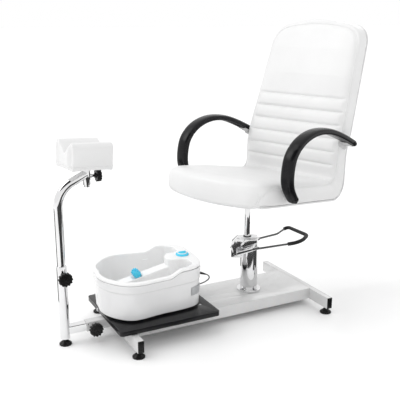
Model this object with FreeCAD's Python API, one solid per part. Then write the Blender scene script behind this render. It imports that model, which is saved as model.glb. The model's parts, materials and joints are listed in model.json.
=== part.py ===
"""Pedicure spa chair: a floor frame that carries a pump-lifted swivel chair, a foot bath on a tray
and a footrest cushion on a sliding, height-adjustable post.

Millimetres, +Z up, floor at z = 0. The chair faces -Y. Everything is drawn about the lift rod's axis
(x = 0, y = 0) and moved at export, so that the bounding box's bottom centre is the origin.
"""

import FreeCAD, Part
import math
import os

from FreeCAD import Vector as V

# ---- driving dimensions -------------------------------------------------------------------------
ORIGIN_FROM_ROD = V(-37.5, -142.5, 0.0)      # bottom centre of the bounding box, seen from the rod axis

TUBE_WIDE, TUBE_HIGH, TUBE_WALL = 25.0, 50.0, 2.0
CROSS_TUBE_LENGTH = 520.0
FOOT_HEIGHT = 28.0
FRONT_TUBE_Y, REAR_TUBE_Y = -624.5, 272.0
TUBE_TOP = FOOT_HEIGHT + TUBE_HIGH
PLATFORM_HALF, SHEET = 127.5, 3.0
FOOT_X = 235.0
POST_Y = -845.5

TRAY_HALF, TRAY_FRONT, TRAY_REAR = 204.0, -683.5, -247.0
TRAY_BOTTOM, TRAY_TOP = 82.0, 101.0

SLEEVE_SIDE, SLEEVE_WALL = 38.0, 2.9
SLEEVE_FRONT, SLEEVE_REAR = -760.5, -400.0
SLIDE_SIDE, SLIDE_REAR = 32.0, -520.0
SLIDE_Z = 63.0
SMALL_KNOB_R, LARGE_KNOB_R, KNOB_THICK = 25.0, 28.0, 18.0
SCREW_RADIUS = 5.0

LOWER_POST_R, UPPER_POST_R, POST_WALL = 20.0, 17.0, 2.0
LOWER_POST_TOP, POST_KNOB_Z = 334.0, 296.0
POST_INNER_END, POST_BEND_Z, POST_BEND_R, POST_END_SLOPE = 140.0, 637.0, 105.0, 25.0
STEM_Y, STEM_R, STEM_SLEEVE_R = -727.5, 11.0, 14.5
STEM_SLEEVE_Z = (649.0, 708.0)
FOOTREST_CENTRE = V(0.0, -731.8, 770.0)
FOOTREST_SIZE = V(153.0, 168.0, 99.0)        # across, along the leg, high
FOOTREST_TURN, FOOTREST_TILT = 7.5, 3.9
COVER_SKIRT = 5.0

PUMP_TURN = -33.0                            # the pedal points 33 degrees from +Y towards +X
COLUMN_OFFSET, COLUMN_R, COLUMN_TOP = 10.0, 38.5, 316.0
HEAD_BACK, HEAD_HALF, HEAD_Z = -69.0, 30.0, (238.0, 325.0)
SHAFT_U, SHAFT_Z, SHAFT_R = -36.5, 266.0, 6.0
PEDAL_SLOPE, PEDAL_ORIGIN_Z = 13.5, 284.0
PEDAL_ROD_R, GRIP_R = 4.5, 8.0
ROD_R, ROD_TOP = 12.5, 508.0

SEAT_TURN = 19.0                             # the chair as it stands, swivelled on its rod
SEAT_SLOPE, BACK_LEAN = 7.4, 19.0            # the seat falls to the rear, the back leans to the rear
SEAT_HALF, BACK_HALF = 258.0, 262.0
SEAT_BOTTOM_Z = 520.6                        # underside of the seat on the rod axis
SEAT_FRONT, BACK_REAR, BACK_BEND_Z, BACK_TOP = -285.0, 365.0, 690.0, 1258.0
COVER_THICK, SHELL_THICK = 6.0, 12.0
SEAT_THICK, BACK_THICK = 77.0, 70.0
CREASE_Y, FRONT_RISE = 285.0, 25.0            # where the seat meets the back; the pad's rise to its front
TOP_ROUND, NOSE_ROUND = 30.0, 22.0
ARM_X, ARM_WIDTH, ARM_THICK = 292.0, 56.0, 26.0
ARM_BOLTS = ((-82.0, 574.0), (338.0, 741.0))     # (y, z) in the chair's own frame

TUB_CENTRE, TUB_TURN = V(-17.0, -487.0, 0.0), -3.8
TUB_BOTTOM, LOW_RIM, HIGH_RIM = 108.0, 272.0, 294.0
TUB_WALL, RIM_DEPTH, RIM_WIDE = 4.0, 14.0, 17.0
WELL_FLOOR = 128.0

CORD_R = 2.5
COIL_CENTRE, COIL_RADII, COIL_HEIGHT = V(-190.5, -140.0, 0.0), (23.5, 34.5), 15.0

GAP = 0.3                                    # clearance left round soft pieces and the clamp screws


# ---- helpers ------------------------------------------------------------------------------------
def box(x0, x1, y0, y1, z0, z1):
    return Part.makeBox(x1 - x0, y1 - y0, z1 - z0, V(x0, y0, z0))


def rod(radius, start, end):
    axis = end - start
    return Part.makeCylinder(radius, axis.Length, start, axis)


def tube(outer, inner, start, end):
    return rod(outer, start, end).cut(rod(inner, start, end))


def cone(radius_start, radius_end, start, end):
    axis = end - start
    return Part.makeCone(radius_start, radius_end, axis.Length, start, axis)


def hexagon(flats, start, end):
    """A hexagonal bar from start to end, with its width across the flats."""
    axis = end - start
    corner = flats / 2 / math.cos(math.radians(30))
    ring = [V(corner * math.cos(math.radians(a)), corner * math.sin(math.radians(a)), 0)
            for a in range(0, 361, 60)]
    bar = Part.Face(Part.makePolygon(ring)).extrude(V(0, 0, axis.Length))
    bar.Placement = FreeCAD.Placement(start, FreeCAD.Rotation(V(0, 0, 1), axis))
    return bar


def join(shapes):
    shapes = list(shapes)
    body = shapes[0]
    for other in shapes[1:]:
        body = body.fuse(other)
    return body.removeSplitter()


def group(shapes):
    return Part.makeCompound(list(shapes))


def turned(shape, angle, about=V(0, 0, 0), axis=V(0, 0, 1)):
    copy = shape.copy()
    copy.rotate(about, axis, angle)
    return copy


def mirrored(shape):
    return shape.mirror(V(0, 0, 0), V(1, 0, 0))


def corner_radius(before, corner, after, share=0.45):
    """Radius of the largest even arc at a corner: a share of its shorter run, over tan(turn / 2)."""
    turn = (corner - before).getAngle(after - corner)
    return share * min((corner - before).Length, (after - corner).Length) / math.tan(turn / 2)


def rounded_path(points, radii=None):
    """Straight runs joined by tangent arcs. radii gives one radius for each inner point."""
    if radii is None:
        radii = [corner_radius(*points[i - 1:i + 2]) for i in range(1, len(points) - 1)]
    edges = []
    at = points[0]
    for i, radius in enumerate(radii, start=1):
        before, corner, after = points[i - 1:i + 2]
        back = (before - corner).normalize()
        onward = (after - corner).normalize()
        turn = math.pi - back.getAngle(onward)
        reach = radius * math.tan(turn / 2)
        middle = (back + onward).normalize()
        inside = corner + middle * (radius / math.cos(turn / 2) - radius)
        if (corner + back * reach - at).Length > 1e-3:
            edges.append(Part.LineSegment(at, corner + back * reach).toShape())
        edges.append(Part.Arc(corner + back * reach, inside, corner + onward * reach).toShape())
        at = corner + onward * reach
    if (points[-1] - at).Length > 1e-3:
        edges.append(Part.LineSegment(at, points[-1]).toShape())
    return Part.Wire(edges)


def swept(path, radius):
    """A round bar along a path of straight runs and tangent arcs."""
    start = path.Edges[0].valueAt(path.Edges[0].FirstParameter)
    ahead = path.Edges[0].tangentAt(path.Edges[0].FirstParameter)
    ring = Part.Wire(Part.makeCircle(radius, start, ahead))
    bar = path.makePipeShell([ring], True, True)
    if bar.Volume < 0:
        bar.reverse()
    return bar


def side_face(points):
    """A flat face from (y, z) points."""
    ring = [V(0, y, z) for y, z in points]
    return Part.Face(Part.makePolygon(ring + ring[:1]))


def across(face, half):
    """A face in the YZ plane made into a solid from -half to +half in x."""
    face = face.copy()
    face.translate(V(-half, 0, 0))
    return face.extrude(V(2 * half, 0, 0))


# ---- floor frame --------------------------------------------------------------------------------
def cross_tube(y):
    """A rectangular tube with the feet's nuts welded inside."""
    half, wide = CROSS_TUBE_LENGTH / 2, TUBE_WIDE / 2
    outer = box(-half, half, y - wide, y + wide, FOOT_HEIGHT, TUBE_TOP)
    inner = box(-half, half, y - wide + TUBE_WALL, y + wide - TUBE_WALL,
                FOOT_HEIGHT + TUBE_WALL, TUBE_TOP - TUBE_WALL)
    body = outer.cut(inner)
    for x in (-FOOT_X, FOOT_X):
        foot = V(x, y, FOOT_HEIGHT)
        body = body.fuse(hexagon(13, foot + V(0, 0, TUBE_WALL), foot + V(0, 0, TUBE_WALL + 7)))
        body = body.cut(rod(4.08, foot - V(0, 0, 1), foot + V(0, 0, 12)))
    return body.removeSplitter()


def tube_end_caps():
    caps = []
    for y in (FRONT_TUBE_Y, REAR_TUBE_Y):
        for side in (-1, 1):
            x = side * CROSS_TUBE_LENGTH / 2
            wide, high = TUBE_WIDE / 2, TUBE_HIGH / 2
            middle = FOOT_HEIGHT + high
            flange = box(min(x, x + side * 2.5), max(x, x + side * 2.5),
                         y - wide, y + wide, middle - high, middle + high)
            plug = box(min(x, x - side * 8), max(x, x - side * 8), y - wide + TUBE_WALL,
                       y + wide - TUBE_WALL, middle - high + TUBE_WALL, middle + high - TUBE_WALL)
            caps.append(join([flange, plug]))
    return group(caps)


def platform():
    """A folded steel pan, open underneath, with a notch for the slide sleeve."""
    y0, y1 = FRONT_TUBE_Y + TUBE_WIDE / 2, REAR_TUBE_Y - TUBE_WIDE / 2
    pan = box(-PLATFORM_HALF, PLATFORM_HALF, y0, y1, FOOT_HEIGHT, TUBE_TOP)
    inner = box(-PLATFORM_HALF + SHEET, PLATFORM_HALF - SHEET, y0 + SHEET, y1 - SHEET,
                FOOT_HEIGHT - 1, TUBE_TOP - SHEET)
    half = SLEEVE_SIDE / 2
    notch = box(-half, half, y0 - 1, SLEEVE_REAR, SLIDE_Z - half, TUBE_TOP + 1)
    body = pan.cut(inner).cut(notch)
    for hole in pump_bolt_places():
        body = body.cut(rod(3.3, hole - V(0, 0, 9), hole))
    return body


def foot_positions():
    places = [V(x, y, 0) for y in (FRONT_TUBE_Y, REAR_TUBE_Y) for x in (-FOOT_X, FOOT_X)]
    return places + [V(0, POST_Y, 0)]


def levelling_foot(place):
    """A round pad with a domed top on a threaded stem with its lock nut."""
    pad = rod(25, place, place + V(0, 0, 6))
    dome = cone(25, 9, place + V(0, 0, 6), place + V(0, 0, 19))
    nut = hexagon(13, place + V(0, 0, 19), place + V(0, 0, FOOT_HEIGHT - 2))
    stem = rod(4, place + V(0, 0, 19), place + V(0, 0, 52))
    return join([pad, dome, nut, stem])


def tray():
    board = box(-TRAY_HALF, TRAY_HALF, TRAY_FRONT, TRAY_REAR, TRAY_BOTTOM, TRAY_TOP)
    upright = [e for e in board.Edges if abs(e.Vertexes[0].Z - e.Vertexes[-1].Z) > 5]
    board = board.makeFillet(14, upright)
    for place in tray_screw_places():
        board = board.cut(rod(2.6, place - V(0, 0, 20), place))
        board = board.cut(cone(2.6, 5, place - V(0, 0, 2.4), place))
    bore = V(-70, TRAY_FRONT, 88)
    return board.cut(rod(3.05, bore, bore + V(0, 22, 0)))


def tray_screw_places():
    return [V(x, y, TRAY_TOP) for x in (-105, 105) for y in (-590, -290)]


def tray_pads():
    pads = []
    for place in tray_screw_places():
        low, high = V(place.x, place.y, TUBE_TOP), V(place.x, place.y, TRAY_BOTTOM)
        pads.append(tube(14, 2.6, low, high))
    return group(pads)


def tray_screws():
    screws = []
    for place in tray_screw_places():
        head = cone(2.5, 4.9, place - V(0, 0, 2.4), place)
        screws.append(join([head, rod(2.5, place - V(0, 0, 23), place - V(0, 0, 2.4))]))
    return group(screws + [stop_screw()])


def stop_screw():
    """The domed screw in the tray's front edge."""
    face = V(-70, TRAY_FRONT, 88)
    ball = Part.makeSphere(9, face + V(0, 4, 0))
    dome = ball.common(box(-80, -60, TRAY_FRONT - 6, TRAY_FRONT, 78, 98))
    return join([dome, rod(3, face, face + V(0, 20, 0))])


# ---- clamp knobs --------------------------------------------------------------------------------
def star_knob(centre, axis, radius):
    """A lobed knob, its centre at half its thickness, with its hub towards the screw."""
    lobes = 12
    start, end = centre - axis * (KNOB_THICK / 2), centre + axis * (KNOB_THICK / 2)
    side = axis.cross(V(0, 0, 1)).normalize()
    up = axis.cross(side)
    body = rod(radius - 4, start, end)
    for i in range(lobes):
        a = math.radians(360 / lobes * i)
        out = (side * math.cos(a) + up * math.sin(a)) * (radius - 4.5)
        body = body.fuse(rod(4.5, start + out, end + out))
    return body.fuse(cone(9, 12, start - axis * 6, start)).removeSplitter()


def clamp_knob(tip, centre, axis, radius):
    """A star knob moulded on its threaded rod, which ends at the tip, just short of the clamped tube."""
    screw = rod(SCREW_RADIUS, tip, centre)
    return join([star_knob(centre, axis, radius), screw])


# ---- footrest slide and post --------------------------------------------------------------------
def square_tube(side, wall, y0, y1):
    half, hollow = side / 2, side / 2 - wall
    outer = box(-half, half, y0, y1, SLIDE_Z - half, SLIDE_Z + half)
    return outer.cut(box(-hollow, hollow, y0 - 1, y1 + 1, SLIDE_Z - hollow, SLIDE_Z + hollow))


def extension_sleeve():
    body = square_tube(SLEEVE_SIDE, SLEEVE_WALL, SLEEVE_FRONT, SLEEVE_REAR)
    knob = V(0, EXTENSION_KNOB.y, EXTENSION_KNOB.z)
    boss = rod(9, knob + V(SLEEVE_SIDE / 2 - 0.5, 0, 0), knob + V(29, 0, 0))
    half = SLEEVE_SIDE / 2
    body = body.fuse(boss).removeSplitter()
    body = body.cut(rod(SCREW_RADIUS + 0.08, knob, knob + V(40, 0, 0)))
    slot = box(half - 5, half + 1, SLEEVE_FRONT + 6, SLEEVE_FRONT + 10, SLIDE_Z + 7, SLIDE_Z + 14)
    return body.cut(slot)


def extension_tube():
    body = square_tube(SLIDE_SIDE, POST_WALL, POST_Y + LOWER_POST_R - 6, SLIDE_REAR)
    return body.cut(rod(LOWER_POST_R, V(0, POST_Y, 0), V(0, POST_Y, 200)))


def lower_post():
    """The outer tube, with a threaded plug welded into its foot."""
    foot, top = V(0, POST_Y, FOOT_HEIGHT), V(0, POST_Y, LOWER_POST_TOP)
    boss = rod(9, V(LOWER_POST_R - 2, POST_Y, POST_KNOB_Z), V(31, POST_Y, POST_KNOB_Z))
    body = rod(LOWER_POST_R, foot, top).fuse(boss).removeSplitter()
    body = body.cut(rod(UPPER_POST_R + 0.1, foot + V(0, 0, 20), top + V(0, 0, 1)))
    body = body.cut(rod(4.08, foot - V(0, 0, 1), foot + V(0, 0, 21)))
    knob = V(0, POST_Y, POST_KNOB_Z)
    return body.cut(rod(SCREW_RADIUS + 0.08, knob, knob + V(40, 0, 0)))


def upper_post():
    """The bent inner tube with the footrest's short sleeve welded to its end."""
    bend = V(0, POST_Y, POST_BEND_Z)
    rise = (STEM_Y - 2 - POST_Y) * math.tan(math.radians(POST_END_SLOPE))
    end = V(0, STEM_Y - 2, POST_BEND_Z + rise)
    outer = swept(rounded_path([V(0, POST_Y, POST_INNER_END), bend, end], [POST_BEND_R]), UPPER_POST_R)
    inner = swept(rounded_path([V(0, POST_Y, POST_INNER_END - 1), bend, end], [POST_BEND_R]),
                  UPPER_POST_R - POST_WALL)
    bent = outer.cut(inner).cut(rod(STEM_SLEEVE_R, V(0, STEM_Y, 600), V(0, STEM_Y, 800)))
    return bent.fuse(stem_sleeve()).removeSplitter()


def stem_sleeve():
    low, high = (V(0, STEM_Y, z) for z in STEM_SLEEVE_Z)
    knob = V(0, STEM_Y, FOOTREST_KNOB.z)
    boss = rod(8, knob + V(0, STEM_SLEEVE_R - 2, 0), knob + V(0, STEM_SLEEVE_R + 7, 0))
    body = rod(STEM_SLEEVE_R, low, high).fuse(boss).removeSplitter()
    body = body.cut(rod(STEM_R + 0.1, low - V(0, 0, 1), high + V(0, 0, 1)))
    return body.cut(rod(SCREW_RADIUS + 0.08, knob, knob + V(0, 40, 0)))


def footrest_frame(shape):
    """Places a piece drawn about the footrest's own centre, x across and y along the leg."""
    shape = turned(shape, -FOOTREST_TILT, axis=V(1, 0, 0))
    shape = turned(shape, FOOTREST_TURN)
    shape.translate(FOOTREST_CENTRE)
    return shape


def footrest_stem():
    """The stem and, welded to it, the plate that the footrest is screwed to."""
    stem = rod(STEM_R, V(0, STEM_Y, 640), V(0, STEM_Y, 718))
    z = -FOOTREST_SIZE.z / 2
    plate = footrest_frame(box(-45, 45, -50, 50, z - 4, z))
    above = footrest_frame(box(-90, 90, -90, 90, z - 2, z + 60))
    body = stem.cut(above).fuse(plate).removeSplitter()
    for place in footrest_screw_places():
        body = body.cut(footrest_frame(rod(2.6, place - V(0, 0, 1), place + V(0, 0, 6))))
    return body


def footrest_screw_places():
    z = -FOOTREST_SIZE.z / 2 - 4
    return [V(x, y, z) for x in (-36, 36) for y in (-40, 40)]


def footrest_screws():
    screws = []
    for place in footrest_screw_places():
        head = rod(5, place - V(0, 0, 2.5), place)
        screws.append(footrest_frame(join([head, rod(2.5, place, place + V(0, 0, 14))])))
    return group(screws)


def footrest_board():
    x, y, z = (s / 2 for s in FOOTREST_SIZE)
    skirt = COVER_SKIRT + GAP
    board = footrest_frame(box(-x + skirt, x - skirt, -y + skirt, y - skirt, -z, -z + 12))
    for place in footrest_screw_places():
        board = board.cut(footrest_frame(rod(2.5, place, place + V(0, 0, 14))))
    return board


def footrest_cushion():
    """A block with a V-shaped groove along the leg, and a skirt that hides the board's edges."""
    x, y, z = (s / 2 for s in FOOTREST_SIZE)
    low, shoulder, valley = -z + 1, z - 12, -z + 52
    ring = [(-x, low), (-x, shoulder), (-x + 8, z), (-x + 20, z), (0, valley),
            (x - 20, z), (x - 8, z), (x, shoulder), (x, low)]
    points = [V(a, -y, b) for a, b in ring]
    face = Part.Face(Part.makePolygon(points + points[:1]))
    block = face.extrude(V(0, 2 * y, 0))
    room = box(-x + COVER_SKIRT, x - COVER_SKIRT, -y + COVER_SKIRT, y - COVER_SKIRT, -z, -z + 12)
    return footrest_frame(block.cut(room))


EXTENSION_KNOB = V(50, -730.5, 59)
POST_KNOB = V(52, POST_Y, POST_KNOB_Z)
FOOTREST_KNOB = V(0, -681.0, 681.0)


# ---- hydraulic pump -----------------------------------------------------------------------------
def pump_frame(shape):
    """Places a piece drawn with the pedal along +Y, about the rod axis."""
    return turned(shape, PUMP_TURN)


def pump_bolt_places():
    """Bolt holes in the flange, at the height of the platform's top."""
    centre = V(0, COLUMN_OFFSET, TUBE_TOP)
    places = []
    for i in range(4):
        a = math.radians(45 + 90 * i)
        places.append(centre + V(46 * math.cos(a), 46 * math.sin(a), 0))
    turn = FreeCAD.Rotation(V(0, 0, 1), PUMP_TURN)
    return [turn.multVec(p) for p in places]


def pump_flange():
    centre = V(0, COLUMN_OFFSET, TUBE_TOP)
    disc = pump_frame(rod(53.5, centre, centre + V(0, 0, 8)))
    for place in pump_bolt_places():
        disc = disc.cut(rod(3.3, place, place + V(0, 0, 8)))
    return disc


def pump_bolts():
    bolts = []
    for place in pump_bolt_places():
        head = hexagon(10, place + V(0, 0, 8), place + V(0, 0, 12))
        shank = rod(3.2, place - V(0, 0, 14), place + V(0, 0, 8))
        nut = hexagon(10, place - V(0, 0, SHEET + 5), place - V(0, 0, SHEET))
        bolts.append(join([head, shank, nut]))
    return group(bolts)


def column_outline(radius, z0, z1):
    return rod(radius, V(0, COLUMN_OFFSET, z0), V(0, COLUMN_OFFSET, z1))


def pump_column():
    """The chromed outer tube."""
    low = TUBE_TOP + 8
    body = column_outline(COLUMN_R, low, COLUMN_TOP).cut(column_outline(COLUMN_R - 2, low, COLUMN_TOP))
    window = box(-8, 8, COLUMN_OFFSET - COLUMN_R - 2, COLUMN_OFFSET - 30, SHAFT_Z - 14, SHAFT_Z + 14)
    return pump_frame(body.cut(window))


def pump_cheek():
    """A flat cheek on the column's side, above the pedal's shaft."""
    outline = side_face([(-5, 326), (-27, 297), (-24, 278), (44, 306), (44, 326)])
    plate = outline.extrude(V(COLUMN_R + 1.5, 0, 0))
    return plate.cut(column_outline(COLUMN_R, COLUMN_TOP - 60, COLUMN_TOP + 14)).common(
        box(24, COLUMN_R + 1.5, -100, 100, 200, 400))


def pump_cap():
    """The column's top, with a chamfered rim, two cheeks and the bore that the rod runs in."""
    top = COLUMN_TOP + 14
    body = column_outline(COLUMN_R, COLUMN_TOP, top)
    rim = [e for e in body.Edges if e.Length > 200 and e.BoundBox.ZMin > top - 1]
    body = body.makeChamfer(4, rim)
    bore = rod(ROD_R + 0.06, V(0, 0, COLUMN_TOP - 1), V(0, 0, top + 1))
    pocket = rod(18, V(0, 0, top - 6), V(0, 0, top + 1))
    cheeks = [cheek.cut(head_block(0.1)) for cheek in (pump_cheek(), mirrored(pump_cheek()))]
    return pump_frame(join([body] + cheeks).cut(bore).cut(pocket))


def rod_seal():
    top = COLUMN_TOP + 14
    return tube(18, ROD_R + 0.06, V(0, 0, top - 6), V(0, 0, top + 1))


def pump_cylinder():
    """The pressure cylinder, closed at its foot."""
    low = TUBE_TOP + 8
    return rod(20, V(0, 0, low), V(0, 0, COLUMN_TOP)).cut(rod(17.05, V(0, 0, low + 6), V(0, 0, COLUMN_TOP)))


def head_block(grow):
    """The cast box's outside, grown by a little on every side."""
    back, z0, z1 = HEAD_BACK - grow, HEAD_Z[0] - grow, HEAD_Z[1] + grow
    outer = side_face([(back, z0), (back, z1 - 26), (back + 26, z1), (0, z1), (0, z0)])
    return across(outer, HEAD_HALF + grow)


def pump_head():
    """The cast box behind the column that holds the pedal shaft and the plunger."""
    z0, z1 = HEAD_Z
    body = head_block(0).cut(column_outline(COLUMN_R, z0 - 1, z1 + 1))
    hollow = side_face([(HEAD_BACK + 6, z0 + 6), (HEAD_BACK + 6, z1 - 30), (HEAD_BACK + 30, z1 - 6),
                        (0, z1 - 6), (0, z0 + 6)])
    body = body.cut(across(hollow, 14).cut(column_outline(COLUMN_R + 3, z0, z1)))
    body = body.cut(box(-8, 8, HEAD_BACK + 6, 0, SHAFT_Z - 14, SHAFT_Z + 14))
    body = body.cut(rod(SHAFT_R + 0.05, V(-40, SHAFT_U, SHAFT_Z), V(40, SHAFT_U, SHAFT_Z)))
    face = V(0, HEAD_BACK, SHAFT_Z + 8)
    bleed_screw = rod(4, face - V(0, 6, 0), face + V(0, 1, 0))
    return pump_frame(join([body, plunger_guide(), bleed_screw]))


def pump_plunger():
    """The small plunger that the pedal's finger pushes up."""
    foot = V(0, SHAFT_U - 13, SHAFT_Z + 4.3)
    return pump_frame(rod(4, foot, foot + V(0, 0, 22)))


def plunger_guide():
    low = V(0, SHAFT_U - 13, SHAFT_Z + 15)
    body = box(-14, 14, HEAD_BACK + 6, SHAFT_U - 7, SHAFT_Z + 15, SHAFT_Z + 27)
    return body.cut(rod(4.06, low, low + V(0, 0, 12)))


def pedal_shaft():
    """The shaft across the head, with the round-nosed finger that works the plunger."""
    shaft = rod(SHAFT_R, V(-61.5, SHAFT_U, SHAFT_Z), V(61.5, SHAFT_U, SHAFT_Z))
    tip = V(0, SHAFT_U - 13, SHAFT_Z)
    arm = box(-6, 6, tip.y, SHAFT_U, SHAFT_Z - 2, SHAFT_Z + 2)
    nose = rod(4, tip - V(6, 0, 0), tip + V(6, 0, 0))
    return join([shaft, arm, nose])


def yoke_end():
    """Where the yoke's far end carries the loop, on the loop's own sloping plane."""
    u = 50
    return V(0, u, PEDAL_ORIGIN_Z + u * math.tan(math.radians(PEDAL_SLOPE)))


def pedal_yoke():
    """The shaft with two chromed side plates that reach to the loop."""
    near, far = V(0, SHAFT_U, SHAFT_Z), yoke_end()
    along = (far - near).normalize()
    normal = V(1, 0, 0).cross(along)
    wide, narrow = 9, 6.5
    ring = [near + normal * wide, far + normal * narrow, far - normal * narrow, near - normal * wide]
    plate = Part.Face(Part.makePolygon(ring + ring[:1])).extrude(V(4, 0, 0))
    plate = plate.fuse(rod(wide, near, near + V(4, 0, 0))).fuse(rod(narrow, far, far + V(4, 0, 0)))
    plate = plate.removeSplitter()
    plate.translate(V(57.5, 0, 0))
    return pump_frame(join([pedal_shaft(), plate, mirrored(plate)]))


# the pedal loop on its own plane: (x, along, bend radius)
PEDAL_LOOP = ((-66, 28, 0), (-86, 138, 25), (-163, 187, 14), (16, 271, 38), (91, 240, 56), (66, 28, 0))
GRIP_START, GRIP_END = 0.69, 0.27            # how far along the second and the last run the grip lies


def pedal_plane(shape):
    shape = turned(shape, PEDAL_SLOPE, axis=V(1, 0, 0))
    shape.translate(V(0, 0, PEDAL_ORIGIN_Z))
    return pump_frame(shape)


def loop_wire():
    points = [V(x, y, 0) for x, y, _ in PEDAL_LOOP]
    return swept(rounded_path(points, [r for _, _, r in PEDAL_LOOP[1:-1]]), PEDAL_ROD_R)


def pedal_loop():
    return pedal_plane(loop_wire())


def pedal_grip():
    """The rubber sleeve round the far side of the loop, with the same bends as the rod inside it."""
    points = [V(x, y, 0) for x, y, _ in PEDAL_LOOP]
    start = points[1] + (points[2] - points[1]) * GRIP_START
    end = points[4] + (points[5] - points[4]) * GRIP_END
    path = rounded_path([start] + points[2:5] + [end], [r for _, _, r in PEDAL_LOOP[2:5]])
    return pedal_plane(swept(path, GRIP_R).cut(loop_wire()))


def return_spring():
    """Turns of the pedal's torsion spring, on the shaft between the head and the near plate."""
    turns = []
    for i in range(6):
        centre = V(HEAD_HALF + 3 + i * 3.0, SHAFT_U, SHAFT_Z)
        turns.append(Part.makeTorus(8.2, 1.25, centre, V(1, 0, 0)))
    return pump_frame(group(turns))


# ---- lift rod and seat mechanism ----------------------------------------------------------------
def lift_rod():
    return rod(ROD_R, V(0, 0, 215), V(0, 0, ROD_TOP))


def lift_piston():
    return rod(17, V(0, 0, 203), V(0, 0, 215))


def underside_z(y):
    return SEAT_BOTTOM_Z - math.tan(math.radians(SEAT_SLOPE)) * y


def seat_hub():
    """The socket that turns on the rod, welded under the seat plate."""
    body = rod(24, V(0, 0, 466), V(0, 0, 530)).cut(seat_slab(-5, 60))
    body = body.cut(rod(ROD_R + 2.5, V(0, 0, 460), V(0, 0, ROD_TOP)))
    return body


def swivel_bush():
    body = tube(ROD_R + 2.5, ROD_R + 0.06, V(0, 0, 466), V(0, 0, ROD_TOP))
    return body.cut(seat_slab(-5, 60))


def seat_slab(low, high):
    """A big slab between two distances above the seat's sloping underside."""
    slab = box(-400, 400, -400, 400, low, high)
    slab = turned(slab, -SEAT_SLOPE, axis=V(1, 0, 0))
    slab.translate(V(0, 0, SEAT_BOTTOM_Z))
    return slab


def seat_plate():
    blank = box(-90, 90, -100, 100, 450, 600)
    edges = [e for e in blank.Edges if abs(e.Vertexes[0].Z - e.Vertexes[-1].Z) > 5]
    plate = blank.makeFillet(12, edges).common(seat_slab(-5, 0))
    for x, y in seat_bolt_places():
        plate = plate.cut(rod(4.1, V(x, y, 440), V(x, y, 620)))
    return plate


def seat_bolt_places():
    return [(x, y) for x in (-70, 70) for y in (-80, 80)]


def seat_bolts():
    bolts = []
    for x, y in seat_bolt_places():
        z = underside_z(y) - 7
        bolts.append(join([hexagon(13, V(x, y, z - 5), V(x, y, z)), rod(4, V(x, y, z), V(x, y, z + 23.5))]))
    return group(bolts)


# ---- upholstered chair --------------------------------------------------------------------------
def shell_line(offset):
    """The seat-and-back line at a distance inside the underside and the rear face, front to top."""
    slope, lean = math.radians(SEAT_SLOPE), math.radians(BACK_LEAN)
    back_y = BACK_REAR - offset
    base = SEAT_BOTTOM_Z + offset / math.cos(slope)
    corner_z = base - math.tan(slope) * back_y
    bend_z = BACK_BEND_Z + offset * math.tan(lean / 2)
    top_y = back_y + math.tan(lean) * (BACK_TOP + 60 - bend_z)
    front_z = base - math.tan(slope) * (SEAT_FRONT - 40)
    points = [V(0, SEAT_FRONT - 40, front_z), V(0, back_y, corner_z),
              V(0, back_y, bend_z), V(0, top_y, BACK_TOP + 60)]
    return rounded_path(points, [80 - offset, 260 + offset])


def shell_layer(low, high, half):
    """The layer between two such lines, as a solid."""
    inner, outer = shell_line(low), shell_line(high)
    ends = [(w.Edges[0].valueAt(w.Edges[0].FirstParameter), w.Edges[-1].valueAt(w.Edges[-1].LastParameter))
            for w in (inner, outer)]
    closing = [Part.makeLine(ends[0][0], ends[1][0]), Part.makeLine(ends[0][1], ends[1][1])]
    ring = Part.Wire(Part.__sortEdges__(inner.Edges + outer.Edges + closing))
    return across(Part.Face(ring), half)


def seat_outline(inset):
    """The seat seen from above: straight sides, a bowed front with round corners."""
    half, front = SEAT_HALF - inset, SEAT_FRONT + inset
    corners = [V(-half, 0, 0), V(-half, front + 30, 0), V(0, front - 24, 0), V(half, front + 30, 0),
               V(half, 0, 0)]
    path = rounded_path(corners, [62 - inset, 700, 62 - inset])
    rear = [V(half, 420, 0), V(-half, 420, 0), V(-half, 0, 0)]
    edges = path.Edges + Part.makePolygon([V(half, 0, 0)] + rear).Edges
    face = Part.Face(Part.Wire(Part.__sortEdges__(edges)))
    face.translate(V(0, 0, 440))
    return face.extrude(V(0, 0, 270))


def back_outline(inset):
    """The back seen from the front: widest low down, an arched top with round corners."""
    top = BACK_TOP - inset
    low, middle = BACK_HALF - inset, 247 - inset
    right = [V(SEAT_HALF - inset, 0, 420), V(low, 0, 780), V(middle, 0, 1040)]
    right.append(V(236 - inset, 0, 1228 - inset))
    points = right + [V(0, 0, top + 14)] + [V(-p.x, 0, p.z) for p in right[::-1]]
    path = rounded_path(points, [500, 900, 92 - inset, 420, 92 - inset, 900, 500])
    base = Part.makeLine(points[-1], points[0])
    face = Part.Face(Part.Wire(Part.__sortEdges__(path.Edges + [base])))
    face.translate(V(0, 150, 0))
    return face.extrude(V(0, 500, 0))


def chair_outline(inset):
    """Everything inside the seat's outline below the bend, and the back's outline behind it."""
    seat = seat_outline(inset).common(box(-400, 400, -400, 200, 400, 720))
    return join([seat, back_outline(inset).common(box(-400, 400, 150, 800, 400, 1300))])


def nose_zone():
    """The front of the seat, where the pad wraps down over the shell's edge."""
    return box(-400, 400, -400, SEAT_FRONT + 60, 300, 900)


def shell_blank(inset):
    """The shell before its bolt holes are drilled."""
    layer = shell_layer(COVER_THICK, COVER_THICK + SHELL_THICK, 300)
    return layer.common(chair_outline(inset)).cut(nose_zone())


def drilled(layer):
    for x, y in seat_bolt_places():
        layer = layer.cut(rod(4.05, V(x, y, 440), V(x, y, 620)))
    return layer


def cover_blank():
    return shell_layer(0, COVER_THICK, 300).common(chair_outline(1)).cut(nose_zone())


def rear_cover():
    """The thin covered panel under the seat and behind the back."""
    return drilled(cover_blank())


def seat_shell():
    """The bent plywood shell that carries the pads and the armrests."""
    return drilled(shell_blank(8))


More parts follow.
